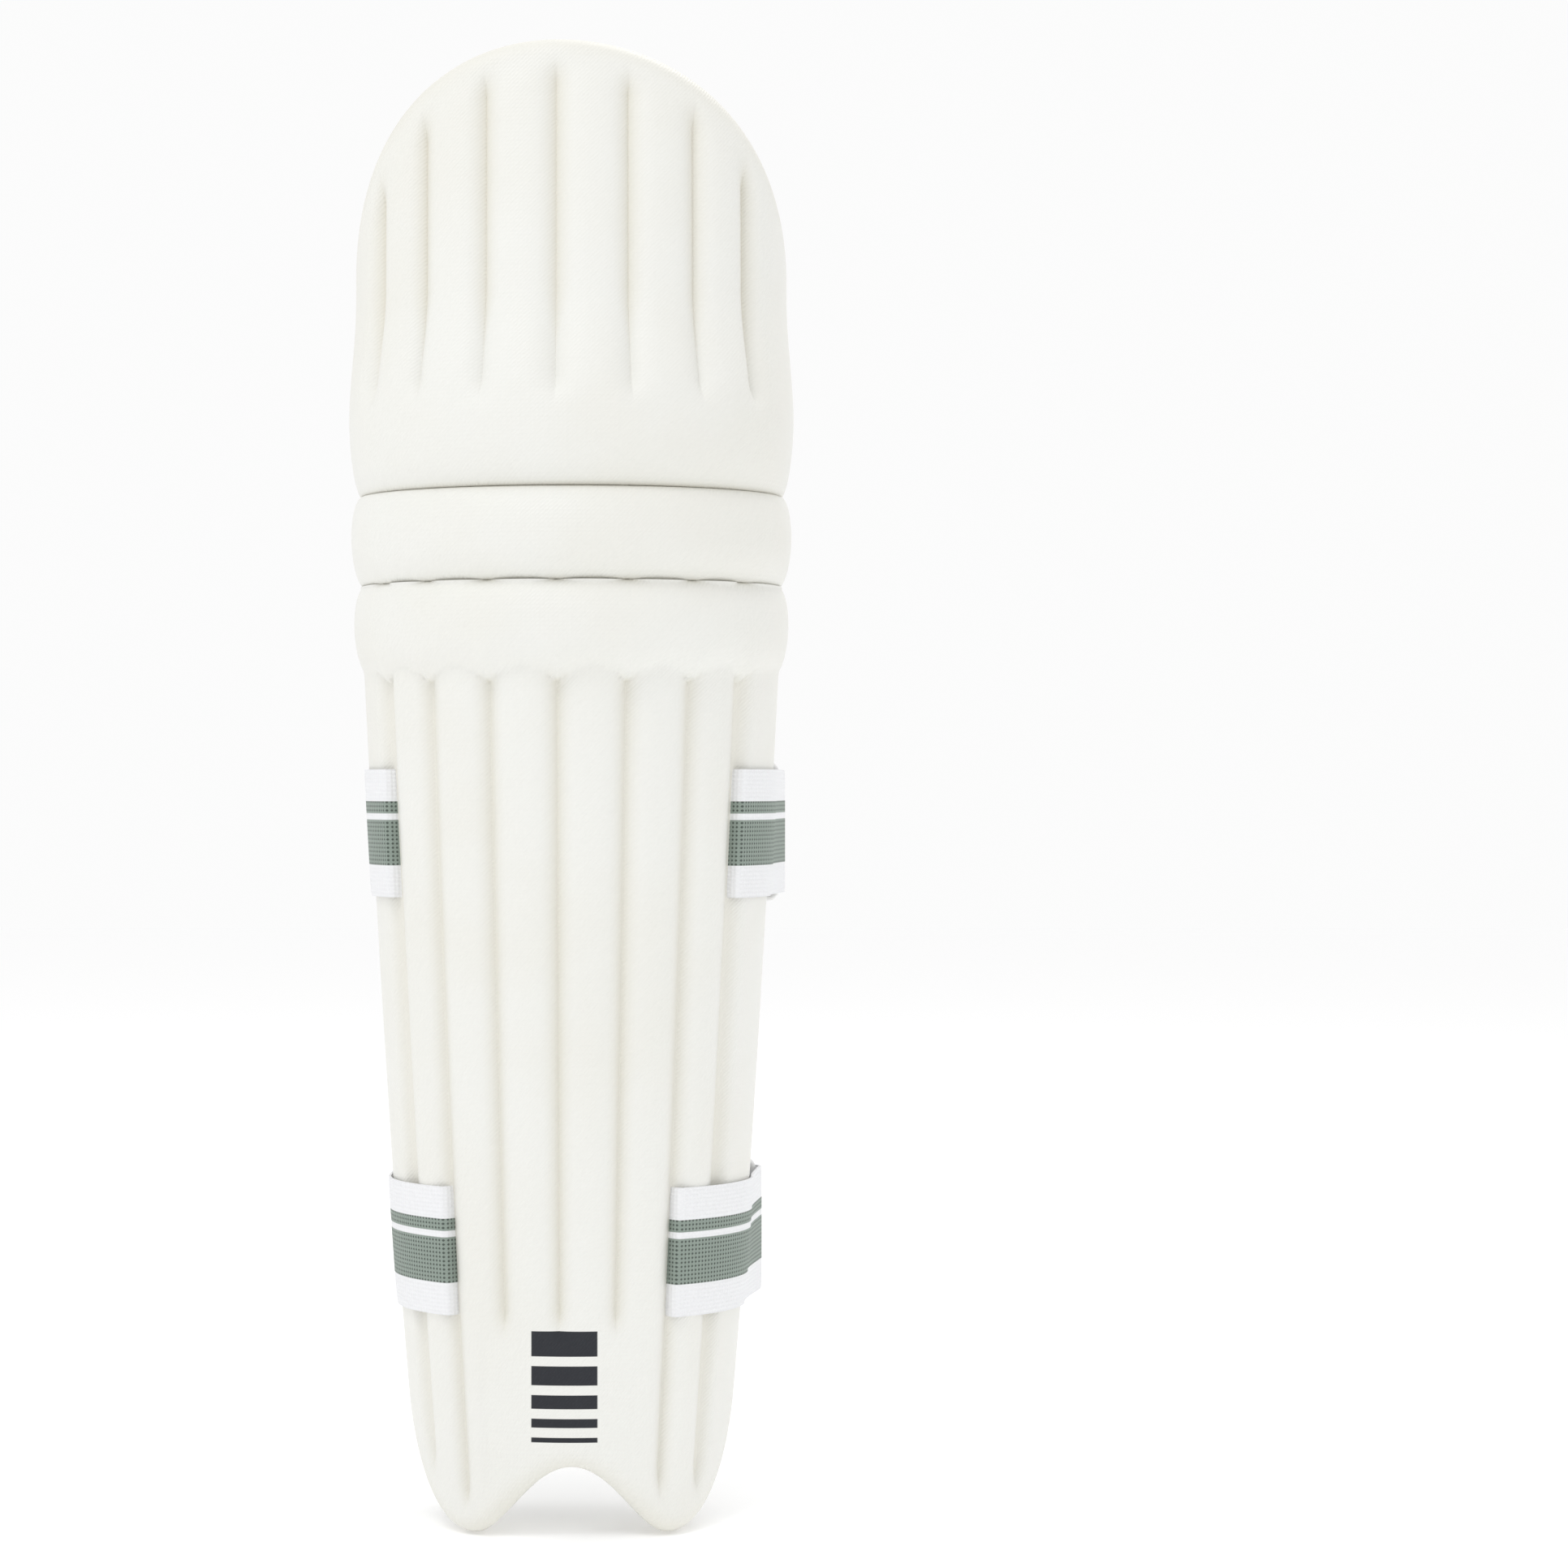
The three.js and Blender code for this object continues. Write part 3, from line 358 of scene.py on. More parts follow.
def solid(name, outer, inner, uv, uv_inner=None, values=None, weld=2e-5, sharp=50):
    """A closed mesh between two grids of points in millimetres, with a UV map in metres."""
    columns, rows = outer.shape[:2]
    count = columns * rows
    index = np.arange(count).reshape(columns, rows)
    a, b, c, d = index[:-1, :-1], index[1:, :-1], index[1:, 1:], index[:-1, 1:]
    front = np.stack([a, b, c, d], -1).reshape(-1, 4)
    back = np.stack([a, d, c, b], -1).reshape(-1, 4) + count
    rim = np.concatenate([index[:, 0], index[-1, 1:], index[-2::-1, -1], index[0, -2:0:-1]])
    following = np.roll(rim, -1)
    wall = np.stack([rim, rim + count, following + count, following], -1)
    faces = np.concatenate([front, back, wall])
    points = metres(np.concatenate([outer.reshape(-1, 3), inner.reshape(-1, 3)]))
    tri = points[faces[:, [0, 1, 2]]], points[faces[:, [0, 2, 3]]]
    volume = sum((t[:, 0] * np.cross(t[:, 1], t[:, 2])).sum() for t in tri)
    if volume < 0:
        faces = faces[:, ::-1]
    mesh = bpy.data.meshes.new(name)
    mesh.from_pydata(points.tolist(), [], faces.tolist())
    behind = uv if uv_inner is None else uv_inner
    both = np.concatenate([uv.reshape(-1, 2), behind.reshape(-1, 2)])
    layer = mesh.uv_layers.new(name="UVMap")
    loops = np.zeros(len(mesh.loops), int)
    mesh.loops.foreach_get("vertex_index", loops)
    layer.data.foreach_set("uv", both[loops].ravel())
    # values become a point attribute; for the shells, this is their painted shade mask.
    if values is not None:
        attribute = mesh.attributes.new("painted_shade", "FLOAT", "POINT")
        attribute.data.foreach_set("value", np.concatenate([values.ravel(), np.zeros(count)]))
    bm = bmesh.new()
    bm.from_mesh(mesh)
    bmesh.ops.remove_doubles(bm, verts=bm.verts, dist=weld)
    bm.to_mesh(mesh)
    bm.free()
    mesh.shade_smooth()
    mesh.set_sharp_from_angle(angle=math.radians(sharp))
    return link(name, mesh)


def shade(obj, material):
    obj.data.materials.clear()
    obj.data.materials.append(material)
    return obj


# ------------------------------------------------------------------ materials
class Graph:
    """Short names for the shader nodes of one material."""

    def __init__(self, name, color, roughness, **sockets):
        self.material = bpy.data.materials.new(name)
        self.material.use_nodes = True
        self.tree = self.material.node_tree
        self.shader = self.tree.nodes["Principled BSDF"]
        self.shader.inputs["Base Color"].default_value = (*color, 1)
        self.shader.inputs["Roughness"].default_value = roughness
        for socket, value in sockets.items():
            self.shader.inputs[socket.replace("_", " ")].default_value = value

    def node(self, kind, **settings):
        n = self.tree.nodes.new(kind)
        for key, value in settings.items():
            setattr(n, key, value)
        return n

    def put(self, socket, value):
        if isinstance(value, bpy.types.NodeSocket):
            self.tree.links.new(value, socket)
        else:
            socket.default_value = value

    def math(self, operation, *values, clamp=False):
        n = self.node("ShaderNodeMath", operation=operation, use_clamp=clamp)
        for socket, value in zip(n.inputs, values):
            self.put(socket, value)
        return n.outputs[0]

    def mix(self, factor, a, b):
        n = self.node("ShaderNodeMix", data_type="RGBA")
        self.put(n.inputs[0], factor)
        for socket, value in zip((n.inputs[6], n.inputs[7]), (a, b)):
            self.put(socket, value if isinstance(value, bpy.types.NodeSocket) else (*value, 1))
        return n.outputs[2]

    def coordinates(self, kind="UV"):
        source = self.node("ShaderNodeTexCoord").outputs[kind]
        split = self.node("ShaderNodeSeparateXYZ")
        self.put(split.inputs[0], source)
        return source, *split.outputs

    def noise(self, vector, scale, detail=2.0):
        n = self.node("ShaderNodeTexNoise")
        self.put(n.inputs["Vector"], vector)
        self.put(n.inputs["Scale"], scale)
        self.put(n.inputs["Detail"], detail)
        return n.outputs[0]

    def ramp(self, value, low, high):
        n = self.node("ShaderNodeMapRange", interpolation_type="SMOOTHSTEP")
        self.put(n.inputs[0], value)
        self.put(n.inputs[1], low)
        self.put(n.inputs[2], high)
        return n.outputs[0]

    def attribute(self, name):
        return self.node("ShaderNodeAttribute", attribute_name=name).outputs["Fac"]

    def wave(self, value, pitch):
        return self.math("SINE", self.math("MULTIPLY", value, 2 * math.pi / pitch))

    def weave(self, u, v, pitch):
        """Two crossing diagonal sets of threads."""
        one = self.wave(self.math("ADD", u, v), pitch)
        two = self.wave(self.math("SUBTRACT", u, v), pitch)
        return self.math("MULTIPLY", one, two)

    def bump(self, *heights):
        """Each height is (value, strength, distance in metres); they are laid over each other."""
        normal = None
        for value, strength, distance in heights:
            n = self.node("ShaderNodeBump")
            n.inputs["Strength"].default_value = strength
            n.inputs["Distance"].default_value = distance
            self.put(n.inputs["Height"], value)
            if normal:
                self.put(n.inputs["Normal"], normal)
            normal = n.outputs[0]
        self.put(self.shader.inputs["Normal"], normal)

    def color(self, value):
        self.put(self.shader.inputs["Base Color"], value)

    def roughness(self, value, low, high):
        n = self.node("ShaderNodeMapRange")
        self.put(n.inputs[0], value)
        n.inputs[3].default_value, n.inputs[4].default_value = low, high
        self.put(self.shader.inputs["Roughness"], n.outputs[0])

    def band(self, value, low, high, soft):
        """1 between low and high, with soft edges."""
        up = self.ramp(value, low - soft, low + soft)
        down = self.ramp(value, high - soft, high + soft)
        return self.math("SUBTRACT", up, down, clamp=True)


WHITE = (0.82, 0.82, 0.785)
IVORY = (0.73, 0.70, 0.60)
CREAM = (0.78, 0.75, 0.65)
INK = (0.012, 0.014, 0.02)


def facing_material():
    """Soft moulded leathercloth, with a fine diagonal emboss and a generic printed mark, and
    painted shade that turns it ivory in its grooves, creases and rim. Inside the shell, where u is
    over a half, it is creamier."""
    g = Graph("moulded_facing", WHITE, 0.5, Specular_IOR_Level=0.42)
    uv, u, v, _ = g.coordinates()
    place, x, _, z = g.coordinates("Object")
    inside = g.ramp(u, 0.45, 0.55)
    tone = g.ramp(g.noise(place, 9, 3), 0.35, 0.7)
    # Painted shade: the facing is mixed towards ivory in its grooves, creases and rim.
    painted_shade = g.math("MINIMUM", g.attribute("painted_shade"), 1)
    base = g.mix(g.math("MULTIPLY", tone, 0.2), WHITE, IVORY)
    base = g.mix(g.math("MULTIPLY", painted_shade, 0.6), base, IVORY)
    base = g.mix(g.math("MULTIPLY", inside, 0.8), base, CREAM)
    outside = g.math("SUBTRACT", 1, inside)
    base = g.mix(g.math("MULTIPLY", outside, printed_mark(g, x, z)), base, INK)
    g.color(base)
    twill = g.wave(g.math("SUBTRACT", v, u), 0.0021)
    emboss = g.math("ADD", twill, g.math("MULTIPLY", g.weave(u, v, 0.0042), 0.6))
    grain = g.noise(place, 900, 2)
    g.bump((emboss, 0.3, 0.00018), (grain, 0.08, 0.0001), (g.noise(place, 40, 2), 0.08, 0.0015))
    g.roughness(g.noise(place, 60, 2), 0.4, 0.58)
    return g.material


def printed_mark(g, x, z):
    """A stack of bars over the instep, each thinner than the one above it."""
    wide = g.ramp(g.math("ABSOLUTE", g.math("ADD", x, 0.0035)), 0.0167, 0.0163)
    low, _ = cad_box
    shape = None
    top = low[2] + 0.102
    for thickness in (0.0125, 0.0095, 0.0068, 0.0044, 0.0024):
        bar = g.band(z, top - thickness, top, 0.0001)
        shape = g.math("ADD", shape, bar, clamp=True) if shape else bar
        top -= thickness + 0.0048
    return g.math("MULTIPLY", shape, wide)


def satin(name, color, print_on=None, sheen=0.25):
    """A fine ribbed satin cover."""
    g = Graph(name, color, 0.62, Sheen_Weight=sheen, Sheen_Roughness=0.4, Specular_IOR_Level=0.35)
    place, x, y, z = g.coordinates("Object")
    tone = g.ramp(g.noise(place, 25, 3), 0.3, 0.72)
    base = g.mix(g.math("MULTIPLY", tone, 0.6), color, tuple(c * 0.86 for c in color))
    if print_on:
        base = print_on(g, base, x, z)
    g.color(base)
    across = g.math("ADD", x, g.math("MULTIPLY", y, 0.8))
    threads = g.weave(across, z, 0.0011)
    creases = g.noise(place, 70, 4)
    g.bump((threads, 0.35, 0.00012), (creases, 0.25, 0.0012))
    g.roughness(tone, 0.5, 0.68)
    return g.material


def knee_print(g, base, x, z):
    """A plain hexagon with bars in it."""
    low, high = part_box("knee_bolster_middle")
    dx = g.math("ABSOLUTE", g.math("SUBTRACT", x, (low.x + high.x) / 2))
    dz = g.math("SUBTRACT", z, (low.z + high.z) / 2 + 0.001)
    slope = g.math("MULTIPLY", g.math("ABSOLUTE", dz), 0.5)
    flat = g.math("ADD", slope, g.math("MULTIPLY", dx, 0.866))
    size = g.math("MAXIMUM", flat, g.math("ABSOLUTE", dz))
    shape = g.band(size, 0.0228, 0.0266, 0.0002)
    step = g.math("FRACT", g.math("DIVIDE", g.math("ADD", dz, 0.1), 0.0088))
    bars = g.band(step, 0.25, 0.68, 0.02)
    bars = g.math("MULTIPLY", bars, g.ramp(size, 0.0142, 0.0138))
    return g.mix(g.math("MAXIMUM", shape, bars), base, INK)


def shin_print(g, base, x, z):
    """A column of outlined chevrons down the middle bolster."""
    low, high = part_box("shin_bolster_middle")
    dx = g.math("ABSOLUTE", g.math("SUBTRACT", x, (low.x + high.x) / 2))
    slant = g.math("ADD", z, g.math("MULTIPLY", dx, 0.9))
    step = g.math("FRACT", g.math("DIVIDE", slant, 0.042))
    solid_bar = g.band(step, 0.12, 0.5, 0.004)
    hairline = g.band(step, 0.6, 0.66, 0.004)
    hairline = g.math("MAXIMUM", hairline, g.band(step, 0.93, 0.99, 0.004))
    within = g.ramp(dx, 0.0172, 0.0168)
    ends = g.band(z, low.z + 0.052, high.z - 0.022, 0.0003)
    lines = g.math("MAXIMUM", solid_bar, hairline)
    shape = g.math("MULTIPLY", lines, g.math("MULTIPLY", within, ends))
    return g.mix(shape, base, INK)


def top_print(g, base, x, z):
    """Two grey bands that slope down to the middle and break up into hatching."""
    low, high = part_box("top_lining_pad")
    slope = g.math("ADD", z, g.math("MULTIPLY", x, -0.43))
    start = g.ramp(x, 0.0300, 0.0304)
    hatch = g.band(g.math("FRACT", g.math("DIVIDE", slope, 0.0042)), 0.18, 0.72, 0.03)
    solid_part = g.ramp(x, 0.050, 0.0506)
    print_here = g.math("MULTIPLY", start, g.math("MAXIMUM", hatch, solid_part))
    top = high.z - 0.055
    bands = g.math("MAXIMUM", g.band(slope, top - 0.025, top - 0.0085, 0.0003),
                   g.band(slope, top - 0.078, top - 0.034, 0.0003))
    return g.mix(g.math("MULTIPLY", bands, print_here), base, (0.33, 0.37, 0.40))


def webbing_material():
    """Striped elastic webbing: u runs along it in metres, v across it from 0 to 1, top at 1."""
    white, grey, dark = (0.87, 0.875, 0.89), (0.27, 0.325, 0.285), (0.05, 0.065, 0.055)
    g = Graph("striped_webbing", white, 0.85, Sheen_Weight=0.15)
    uv, u, v, _ = g.coordinates()
    across = g.math("MULTIPLY", v, WEBBING_WIDTH / 1000)
    stripes = g.math("MAXIMUM", g.band(v, 0.655, 0.75, 0.004), g.band(v, 0.25, 0.605, 0.004))
    mesh = g.weave(u, across, 0.0042)
    holes = g.ramp(mesh, 0.05, 0.75)
    yarn = g.mix(g.math("MULTIPLY", holes, 0.9), grey, dark)
    fleck = g.mix(g.math("MULTIPLY", g.ramp(mesh, 0.3, 0.9), 0.08), white, (0.55, 0.56, 0.6))
    g.color(g.mix(stripes, fleck, yarn))
    g.bump((mesh, 0.7, 0.00035), (g.noise(uv, 1500, 2), 0.3, 0.0002))
    return g.material


def tape_material(name, color, pitch):
    """Hook or loop tape, with its tufts in rows."""
    g = Graph(name, color, 0.8, Sheen_Weight=0.3)
    uv, u, v, _ = g.coordinates()
    across = g.math("MULTIPLY", v, TAPE_WIDTH / 1000)
    tufts = g.math("MULTIPLY", g.wave(u, pitch), g.wave(across, pitch))
    g.color(g.mix(g.ramp(tufts, -0.2, 0.8), tuple(c * 0.85 for c in color), color))
    g.bump((tufts, 0.5, 0.0002), (g.noise(uv, 2500, 2), 0.3, 0.0001))
    return g.material


def plastic_material():
    """Moulded white plastic, a little uneven in gloss."""
    g = Graph("white_plastic", (0.88, 0.88, 0.88), 0.32, Coat_Weight=0.15, Coat_Roughness=0.2)
    place, *_ = g.coordinates("Object")
    g.color(g.mix(g.ramp(g.noise(place, 60, 2), 0.35, 0.7), (0.88, 0.88, 0.88), (0.83, 0.83, 0.82)))
    g.bump((g.noise(place, 700, 2), 0.12, 0.0002))
    g.roughness(g.noise(place, 90, 2), 0.26, 0.42)
    return g.material


def thread_material(name, color):
    """Twisted sewing thread."""
    g = Graph(name, color, 0.7, Sheen_Weight=0.2)
    place, x, _, z = g.coordinates("Object")
    twist = g.wave(g.math("ADD", x, z), 0.0006)
    g.color(g.mix(g.ramp(twist, -1, 1), tuple(c * 0.8 for c in color), color))
    g.bump((twist, 0.5, 0.0001))
    return g.material


FACING = facing_material()
GREY = satin("grey_satin", (0.375, 0.38, 0.365))
WHITE_SATIN = satin("white_satin", (0.82, 0.81, 0.83), sheen=0.1)
KNEE_SATIN = satin("white_satin_hexagon", (0.82, 0.81, 0.83), knee_print, 0.1)
SHIN_SATIN = satin("white_satin_chevrons", (0.80, 0.79, 0.84), shin_print, 0.1)
TOP_SATIN = satin("white_satin_bands", (0.83, 0.81, 0.77), top_print, 0.1)
# The shin sheet's cloth: the grey lining at four fifths of its brightness, as painted shade where
# the sheet shows at the bolsters' edges and gaps.
SHADED_SHEET = satin("shaded_lining_sheet_cloth", (0.30, 0.305, 0.295))
WEBBING_CLOTH = webbing_material()
HOOK = tape_material("hook_tape", (0.62, 0.65, 0.65), 0.0016)
LOOP = tape_material("loop_tape", (0.86, 0.87, 0.88), 0.0012)
PLASTIC = plastic_material()
THREAD = thread_material("white_thread", (0.82, 0.82, 0.80))


# ------------------------------------------------------------------ camera, lights and floor
CAMERA_DISTANCE = 1.75
NEAR_FACE = 0.045  # the face that the picture's height is set at, in front of the leg's axis
PAD_SHARE = 0.948  # of the picture's height
SENSOR = 36  # millimetres
FLOOR_GLOW = 0.15  # so that the far floor meets the world in white


def setting():
    lo, hi = cad_box
    middle = (lo[2] + hi[2]) / 2
    camera = bpy.data.objects.new("camera", bpy.data.cameras.new("camera"))
    bpy.context.scene.collection.objects.link(camera)
    camera.location = (0, -CAMERA_DISTANCE, middle)
    camera.rotation_euler = (math.pi / 2, 0, 0)
    camera.data.sensor_width = SENSOR
    camera.data.lens = SENSOR * (CAMERA_DISTANCE - NEAR_FACE) * PAD_SHARE / (hi[2] - lo[2])
    camera.data.shift_x = 0.1356
    bpy.context.scene.camera = camera
    bpy.ops.mesh.primitive_plane_add(size=14, location=(0, 0, lo[2] - 0.001))
    floor = bpy.context.object
    floor.name = "floor"
    g = Graph("pale_floor", (0.93, 0.93, 0.93), 0.9)
    g.shader.inputs["Emission Color"].default_value = (1, 1, 1, 1)
    g.shader.inputs["Emission Strength"].default_value = FLOOR_GLOW
    floor.data.materials.append(g.material)
    world = bpy.data.worlds.new("studio")
    bpy.context.scene.world = world
    world.use_nodes = True
    tree = world.node_tree
    split = tree.nodes.new("ShaderNodeSeparateXYZ")
    tree.links.new(tree.nodes.new("ShaderNodeTexCoord").outputs["Generated"], split.inputs[0])
    fade = tree.nodes.new("ShaderNodeMapRange")
    fade.interpolation_type = "SMOOTHSTEP"
    tree.links.new(split.outputs[2], fade.inputs[0])
    # White round the horizon, dimmer overhead, so that the lamps shape what stands here.
    for socket, value in zip(fade.inputs[1:5], (0.2, 0.9, 0.97, 0.82)):
        socket.default_value = value
    tree.links.new(fade.outputs[0], tree.nodes["Background"].inputs[1])
    tree.nodes["Background"].inputs[0].default_value = (1, 1, 1, 1)
    for name, place, size, power in (
        ("key", (-0.8, -1.0, 2.1), 0.9, 13),
        ("back_key", (0.8, 1.0, 2.1), 0.9, 13),
    ):
        data = bpy.data.lights.new(name, "AREA")
        data.size = size
        data.energy = power
        lamp = bpy.data.objects.new(name, data)
        lamp.location = place
        aim = Vector((0, 0, middle)) - lamp.location
        lamp.rotation_euler = aim.to_track_quat("-Z", "Y").to_euler()
        bpy.context.scene.collection.objects.link(lamp)
    bpy.context.scene.view_settings.view_transform = "Standard"


# ------------------------------------------------------------------ the shell
BEND_REACH = 9  # how far on either side of a crease make_shell() sets its two points


def make_shell():
    """Two skins that meet round the middle of the upper roll."""
    for name, rows, pair, crease, stands_for in (
        ("shin_shell", shin_rows, ("shin", "upper_roll"), LOWER_CREASE,
         ("shin_facing", "shin_foam_core", "shin_backing", "lower_crease_web")),
        ("top_shell", top_rows, ("upper_roll", "top"), UPPER_CREASE,
         ("top_facing", "top_foam_core", "top_backing", "upper_crease_web",
          "upper_roll_facing", "upper_roll_foam_core", "upper_roll_backing")),
    ):
        # shell_grids() also gives the painted shade mask, which is stored on the mesh.
        outer, inner, uv, painted_shade = shell_grids(rows)
        piece = solid(name, outer, inner, uv, uv + [1.0, 0], painted_shade)
        shade(piece, FACING)
        start, end = (metres([0, 0, crease + d]) for d in (-BEND_REACH, BEND_REACH))
        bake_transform(piece)
        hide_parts(*stands_for)


# ------------------------------------------------------------------ cushions
SKIN_TREE = None
VOXEL = 0.0045
CLOTH_FRAMES = 20


def skin_tree():
    """The plain skin as a lookup: its nearest point gives a point's depth behind it."""
    global SKIN_TREE
    if SKIN_TREE is None:
        a, z = np.meshgrid(np.linspace(-95, 95, 130), np.linspace(0, CROWN, 190), indexing="ij")
        points = metres(skin(a, z)).reshape(-1, 3)
        SKIN_TREE = KDTree(len(points))
        for i, p in enumerate(points):
            SKIN_TREE.insert(p, i)
        SKIN_TREE.balance()
    return SKIN_TREE


def depth_of(point):
    return skin_tree().find(point)[2] * 1000


def copy_of(node, name):
    """A copy of a CAD solid."""
    obj = link(name, nodes[node].data.copy())
    bm = bmesh.new()
    bm.from_mesh(obj.data)
    bmesh.ops.remove_doubles(bm, verts=bm.verts, dist=1e-5)
    bm.to_mesh(obj.data)
    bm.free()
    return obj


def apply_all(obj):
    """Bakes the modifiers into the mesh."""
    depsgraph = bpy.context.evaluated_depsgraph_get()
    mesh = bpy.data.meshes.new_from_object(obj.evaluated_get(depsgraph))
    obj.modifiers.clear()
    obj.data = mesh


def modify(obj, kind, **settings):
    modifier = obj.modifiers.new(kind.lower(), kind)
    for key, value in settings.items():
        setattr(modifier, key, value)
    return modifier


def drawn_in(obj, amount):
    """Shrinks a cover along its normals, to leave room for the swelling."""
    mesh = obj.data
    normals = np.zeros(len(mesh.vertices) * 3)
    co = np.zeros(len(mesh.vertices) * 3)
    mesh.vertices.foreach_get("normal", normals)
    mesh.vertices.foreach_get("co", co)
    mesh.vertices.foreach_set("co", co - normals * amount)
    mesh.update()


def swell(obj, front, cap, pressure=4.0):
    """Blows the cover up as cloth, with the side by the shell held, and limits the swelling."""
    held = obj.vertex_groups.new(name="held")
    depths = [depth_of(v.co) for v in obj.data.vertices]
    held.add([i for i, d in enumerate(depths) if d < front + 2.5], 1.0, "REPLACE")
    before = np.zeros(len(obj.data.vertices) * 3)
    obj.data.vertices.foreach_get("co", before)
    cloth = modify(obj, "CLOTH")
    cloth.settings.use_pressure = True
    cloth.settings.uniform_pressure_force = pressure
    cloth.settings.effector_weights.gravity = 0
    cloth.settings.vertex_group_mass = "held"
    cloth.settings.tension_stiffness = 12
    cloth.settings.compression_stiffness = 12
    cloth.settings.bending_stiffness = 0.4
    scene = bpy.context.scene
    for number in range(1, CLOTH_FRAMES + 1):
        scene.frame_set(number)
    apply_all(obj)
    scene.frame_set(1)
    after = np.zeros(len(before))
    obj.data.vertices.foreach_get("co", after)
    move = (after - before).reshape(-1, 3)
    length = np.linalg.norm(move, axis=1, keepdims=True)
    move *= np.minimum(1, cap / np.maximum(length, 1e-9))
    obj.data.vertices.foreach_set("co", before + move.ravel())
    obj.vertex_groups.clear()


def displaced(obj, amount):
    """Moves each vertex along its normal by amount(point, normal), in metres."""
    obj.data.update()
    for v, n in zip(obj.data.vertices, [Vector(v.normal) for v in obj.data.vertices]):
        v.co += n * amount(v.co, n)
    obj.data.update()


def fill_place(obj, node, grow):
    """Stretches a cover sideways and up to its CAD node's box, grown a little at the seams."""
    low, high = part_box(node)
    points = np.zeros(len(obj.data.vertices) * 3)
    obj.data.vertices.foreach_get("co", points)
    points = points.reshape(-1, 3)
    for axis, more in ((0, grow[0]), (2, grow[1])):
        a, b = points[:, axis].min(), points[:, axis].max()
        target_a, target_b = low[axis] - more, high[axis] + more
        points[:, axis] = target_a + (points[:, axis] - a) * (target_b - target_a) / (b - a)
    obj.data.vertices.foreach_set("co", points.ravel())
    obj.data.update()


def fold_noise(p, across, along, seed):
    """Soft wrinkles, longer one way than the other."""
    return noise.noise(Vector((p.x / across, p.y / across + seed, p.z / along)))


def cushion(node, material, slot, front, cap=0.006, wrinkle=0.0012, seams=(), shape=None,
            grow=(0, 0)):
    """A sewn foam cushion for a CAD solid: blown up as cloth, then wrinkled and seamed."""
    obj = copy_of(node, node + "_cover")
    modify(obj, "REMESH", mode="VOXEL", voxel_size=VOXEL)
    apply_all(obj)
    drawn_in(obj, 0.001)
    swell(obj, front, cap)
    modify(obj, "SMOOTH", factor=0.5, iterations=2)
    modify(obj, "SUBSURF", levels=1, render_levels=1)
    apply_all(obj)
    seed = sum(map(ord, node)) % 17

    def amount(p, n):
        wide = fold_noise(p, 0.030, 0.018, seed) + 0.5 * fold_noise(p, 0.012, 0.009, seed + 5)
        total = wrinkle * wide
        for seam in seams:
            total -= seam(p, n)
        if shape:
            total += shape(p, n)
        return total

    displaced(obj, amount)
    fill_place(obj, node, grow)
    obj.data.shade_smooth()
    shade(obj, material)
    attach(obj, nodes[node]["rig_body"])
    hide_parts(node)
    return obj


def channel(x_top, x_bottom, low, high, depth=0.0032, width=0.0035, fade=0.0):
    """A sewn line down the back of a pad, for cushion(). Its top end fades in over fade."""

    def seam(p, n):
        if n.y < 0.2 or not low < p.z < high:
            return 0.0
        t = (high - p.z) / (high - low)
        ease = min(1.0, (high - p.z) / fade) if fade else 1.0
        return ease * depth * math.exp(-(((p.x - (x_top + (x_bottom - x_top) * t)) / width) ** 2))

    return seam


def puckers(node, period=0.011, size=0.0013, reach=0.016):
    """Uneven gathers that run in from a cushion's seams."""
    low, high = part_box(node)
    seed = sum(map(ord, node)) % 13

    def shape(p, n):
        to_end = min(p.z - low.z, high.z - p.z)
        to_side = min(abs(p.x - low.x), abs(p.x - high.x))
        along_x = noise.noise(Vector((p.x / period * 1.6, seed, p.z / 0.05)))
        along_z = noise.noise(Vector((p.x / 0.05, seed + 3, p.z / period * 1.2)))
        ends = along_x * math.exp(-((to_end / reach) ** 2))
        sides = along_z * math.exp(-((to_side / reach) ** 2))
        return 1.9 * size * (ends + 0.8 * sides)

    return shape


def stitches(name, obj, path, body, material, length=0.0032, gap=0.0026, radius=0.00035):
    """A dashed line of thread laid on a piece's surface along a list of points."""
    depsgraph = bpy.context.evaluated_depsgraph_get()
    tree = BVHTree.FromObject(obj, depsgraph)
    placed = []
    for p in path:
        spot, normal, *_ = tree.find_nearest(Vector(p))
        placed.append((spot, normal))
    bm = bmesh.new()
    travelled, start = 0.0, 0.0
    run = [placed[0]]
    dash = True
    for (a, _), (b, nb) in zip(placed, placed[1:]):
        travelled += (b - a).length
        if dash:
            run.append((b, nb))
        if travelled - start > (length if dash else gap):
            if dash and len(run) > 1:
                add_thread(bm, [q + n * radius * 0.7 for q, n in run], radius)
            dash, start, run = not dash, travelled, [(b, nb)]
    mesh = bpy.data.meshes.new(name)
    bm.to_mesh(mesh)
    bm.free()
    mesh.shade_smooth()
    thread = shade(link(name, mesh), material)
    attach(thread, body)


def add_thread(bm, points, radius, sides=6):
    """A closed tube through points, with pointed ends."""
    rings = []
    ends = []
    for i, p in enumerate(points):
        along = (points[min(i + 1, len(points) - 1)] - points[max(i - 1, 0)]).normalized()
        side = along.orthogonal().normalized()
        other = along.cross(side)
        rings.append(
            [bm.verts.new(p + radius * (side * math.cos(t) + other * math.sin(t)))
             for t in np.linspace(0, 2 * math.pi, sides, endpoint=False)]
        )
        if i in (0, len(points) - 1):
            ends.append(bm.verts.new(p + along * radius * (-1 if i == 0 else 1)))
    for one, two in zip(rings, rings[1:]):
        for k in range(sides):
            bm.faces.new((one[k], one[(k + 1) % sides], two[(k + 1) % sides], two[k]))
    for k in range(sides):
        bm.faces.new((ends[0], rings[0][(k + 1) % sides], rings[0][k]))
        bm.faces.new((ends[1], rings[-1][k], rings[-1][(k + 1) % sides]))


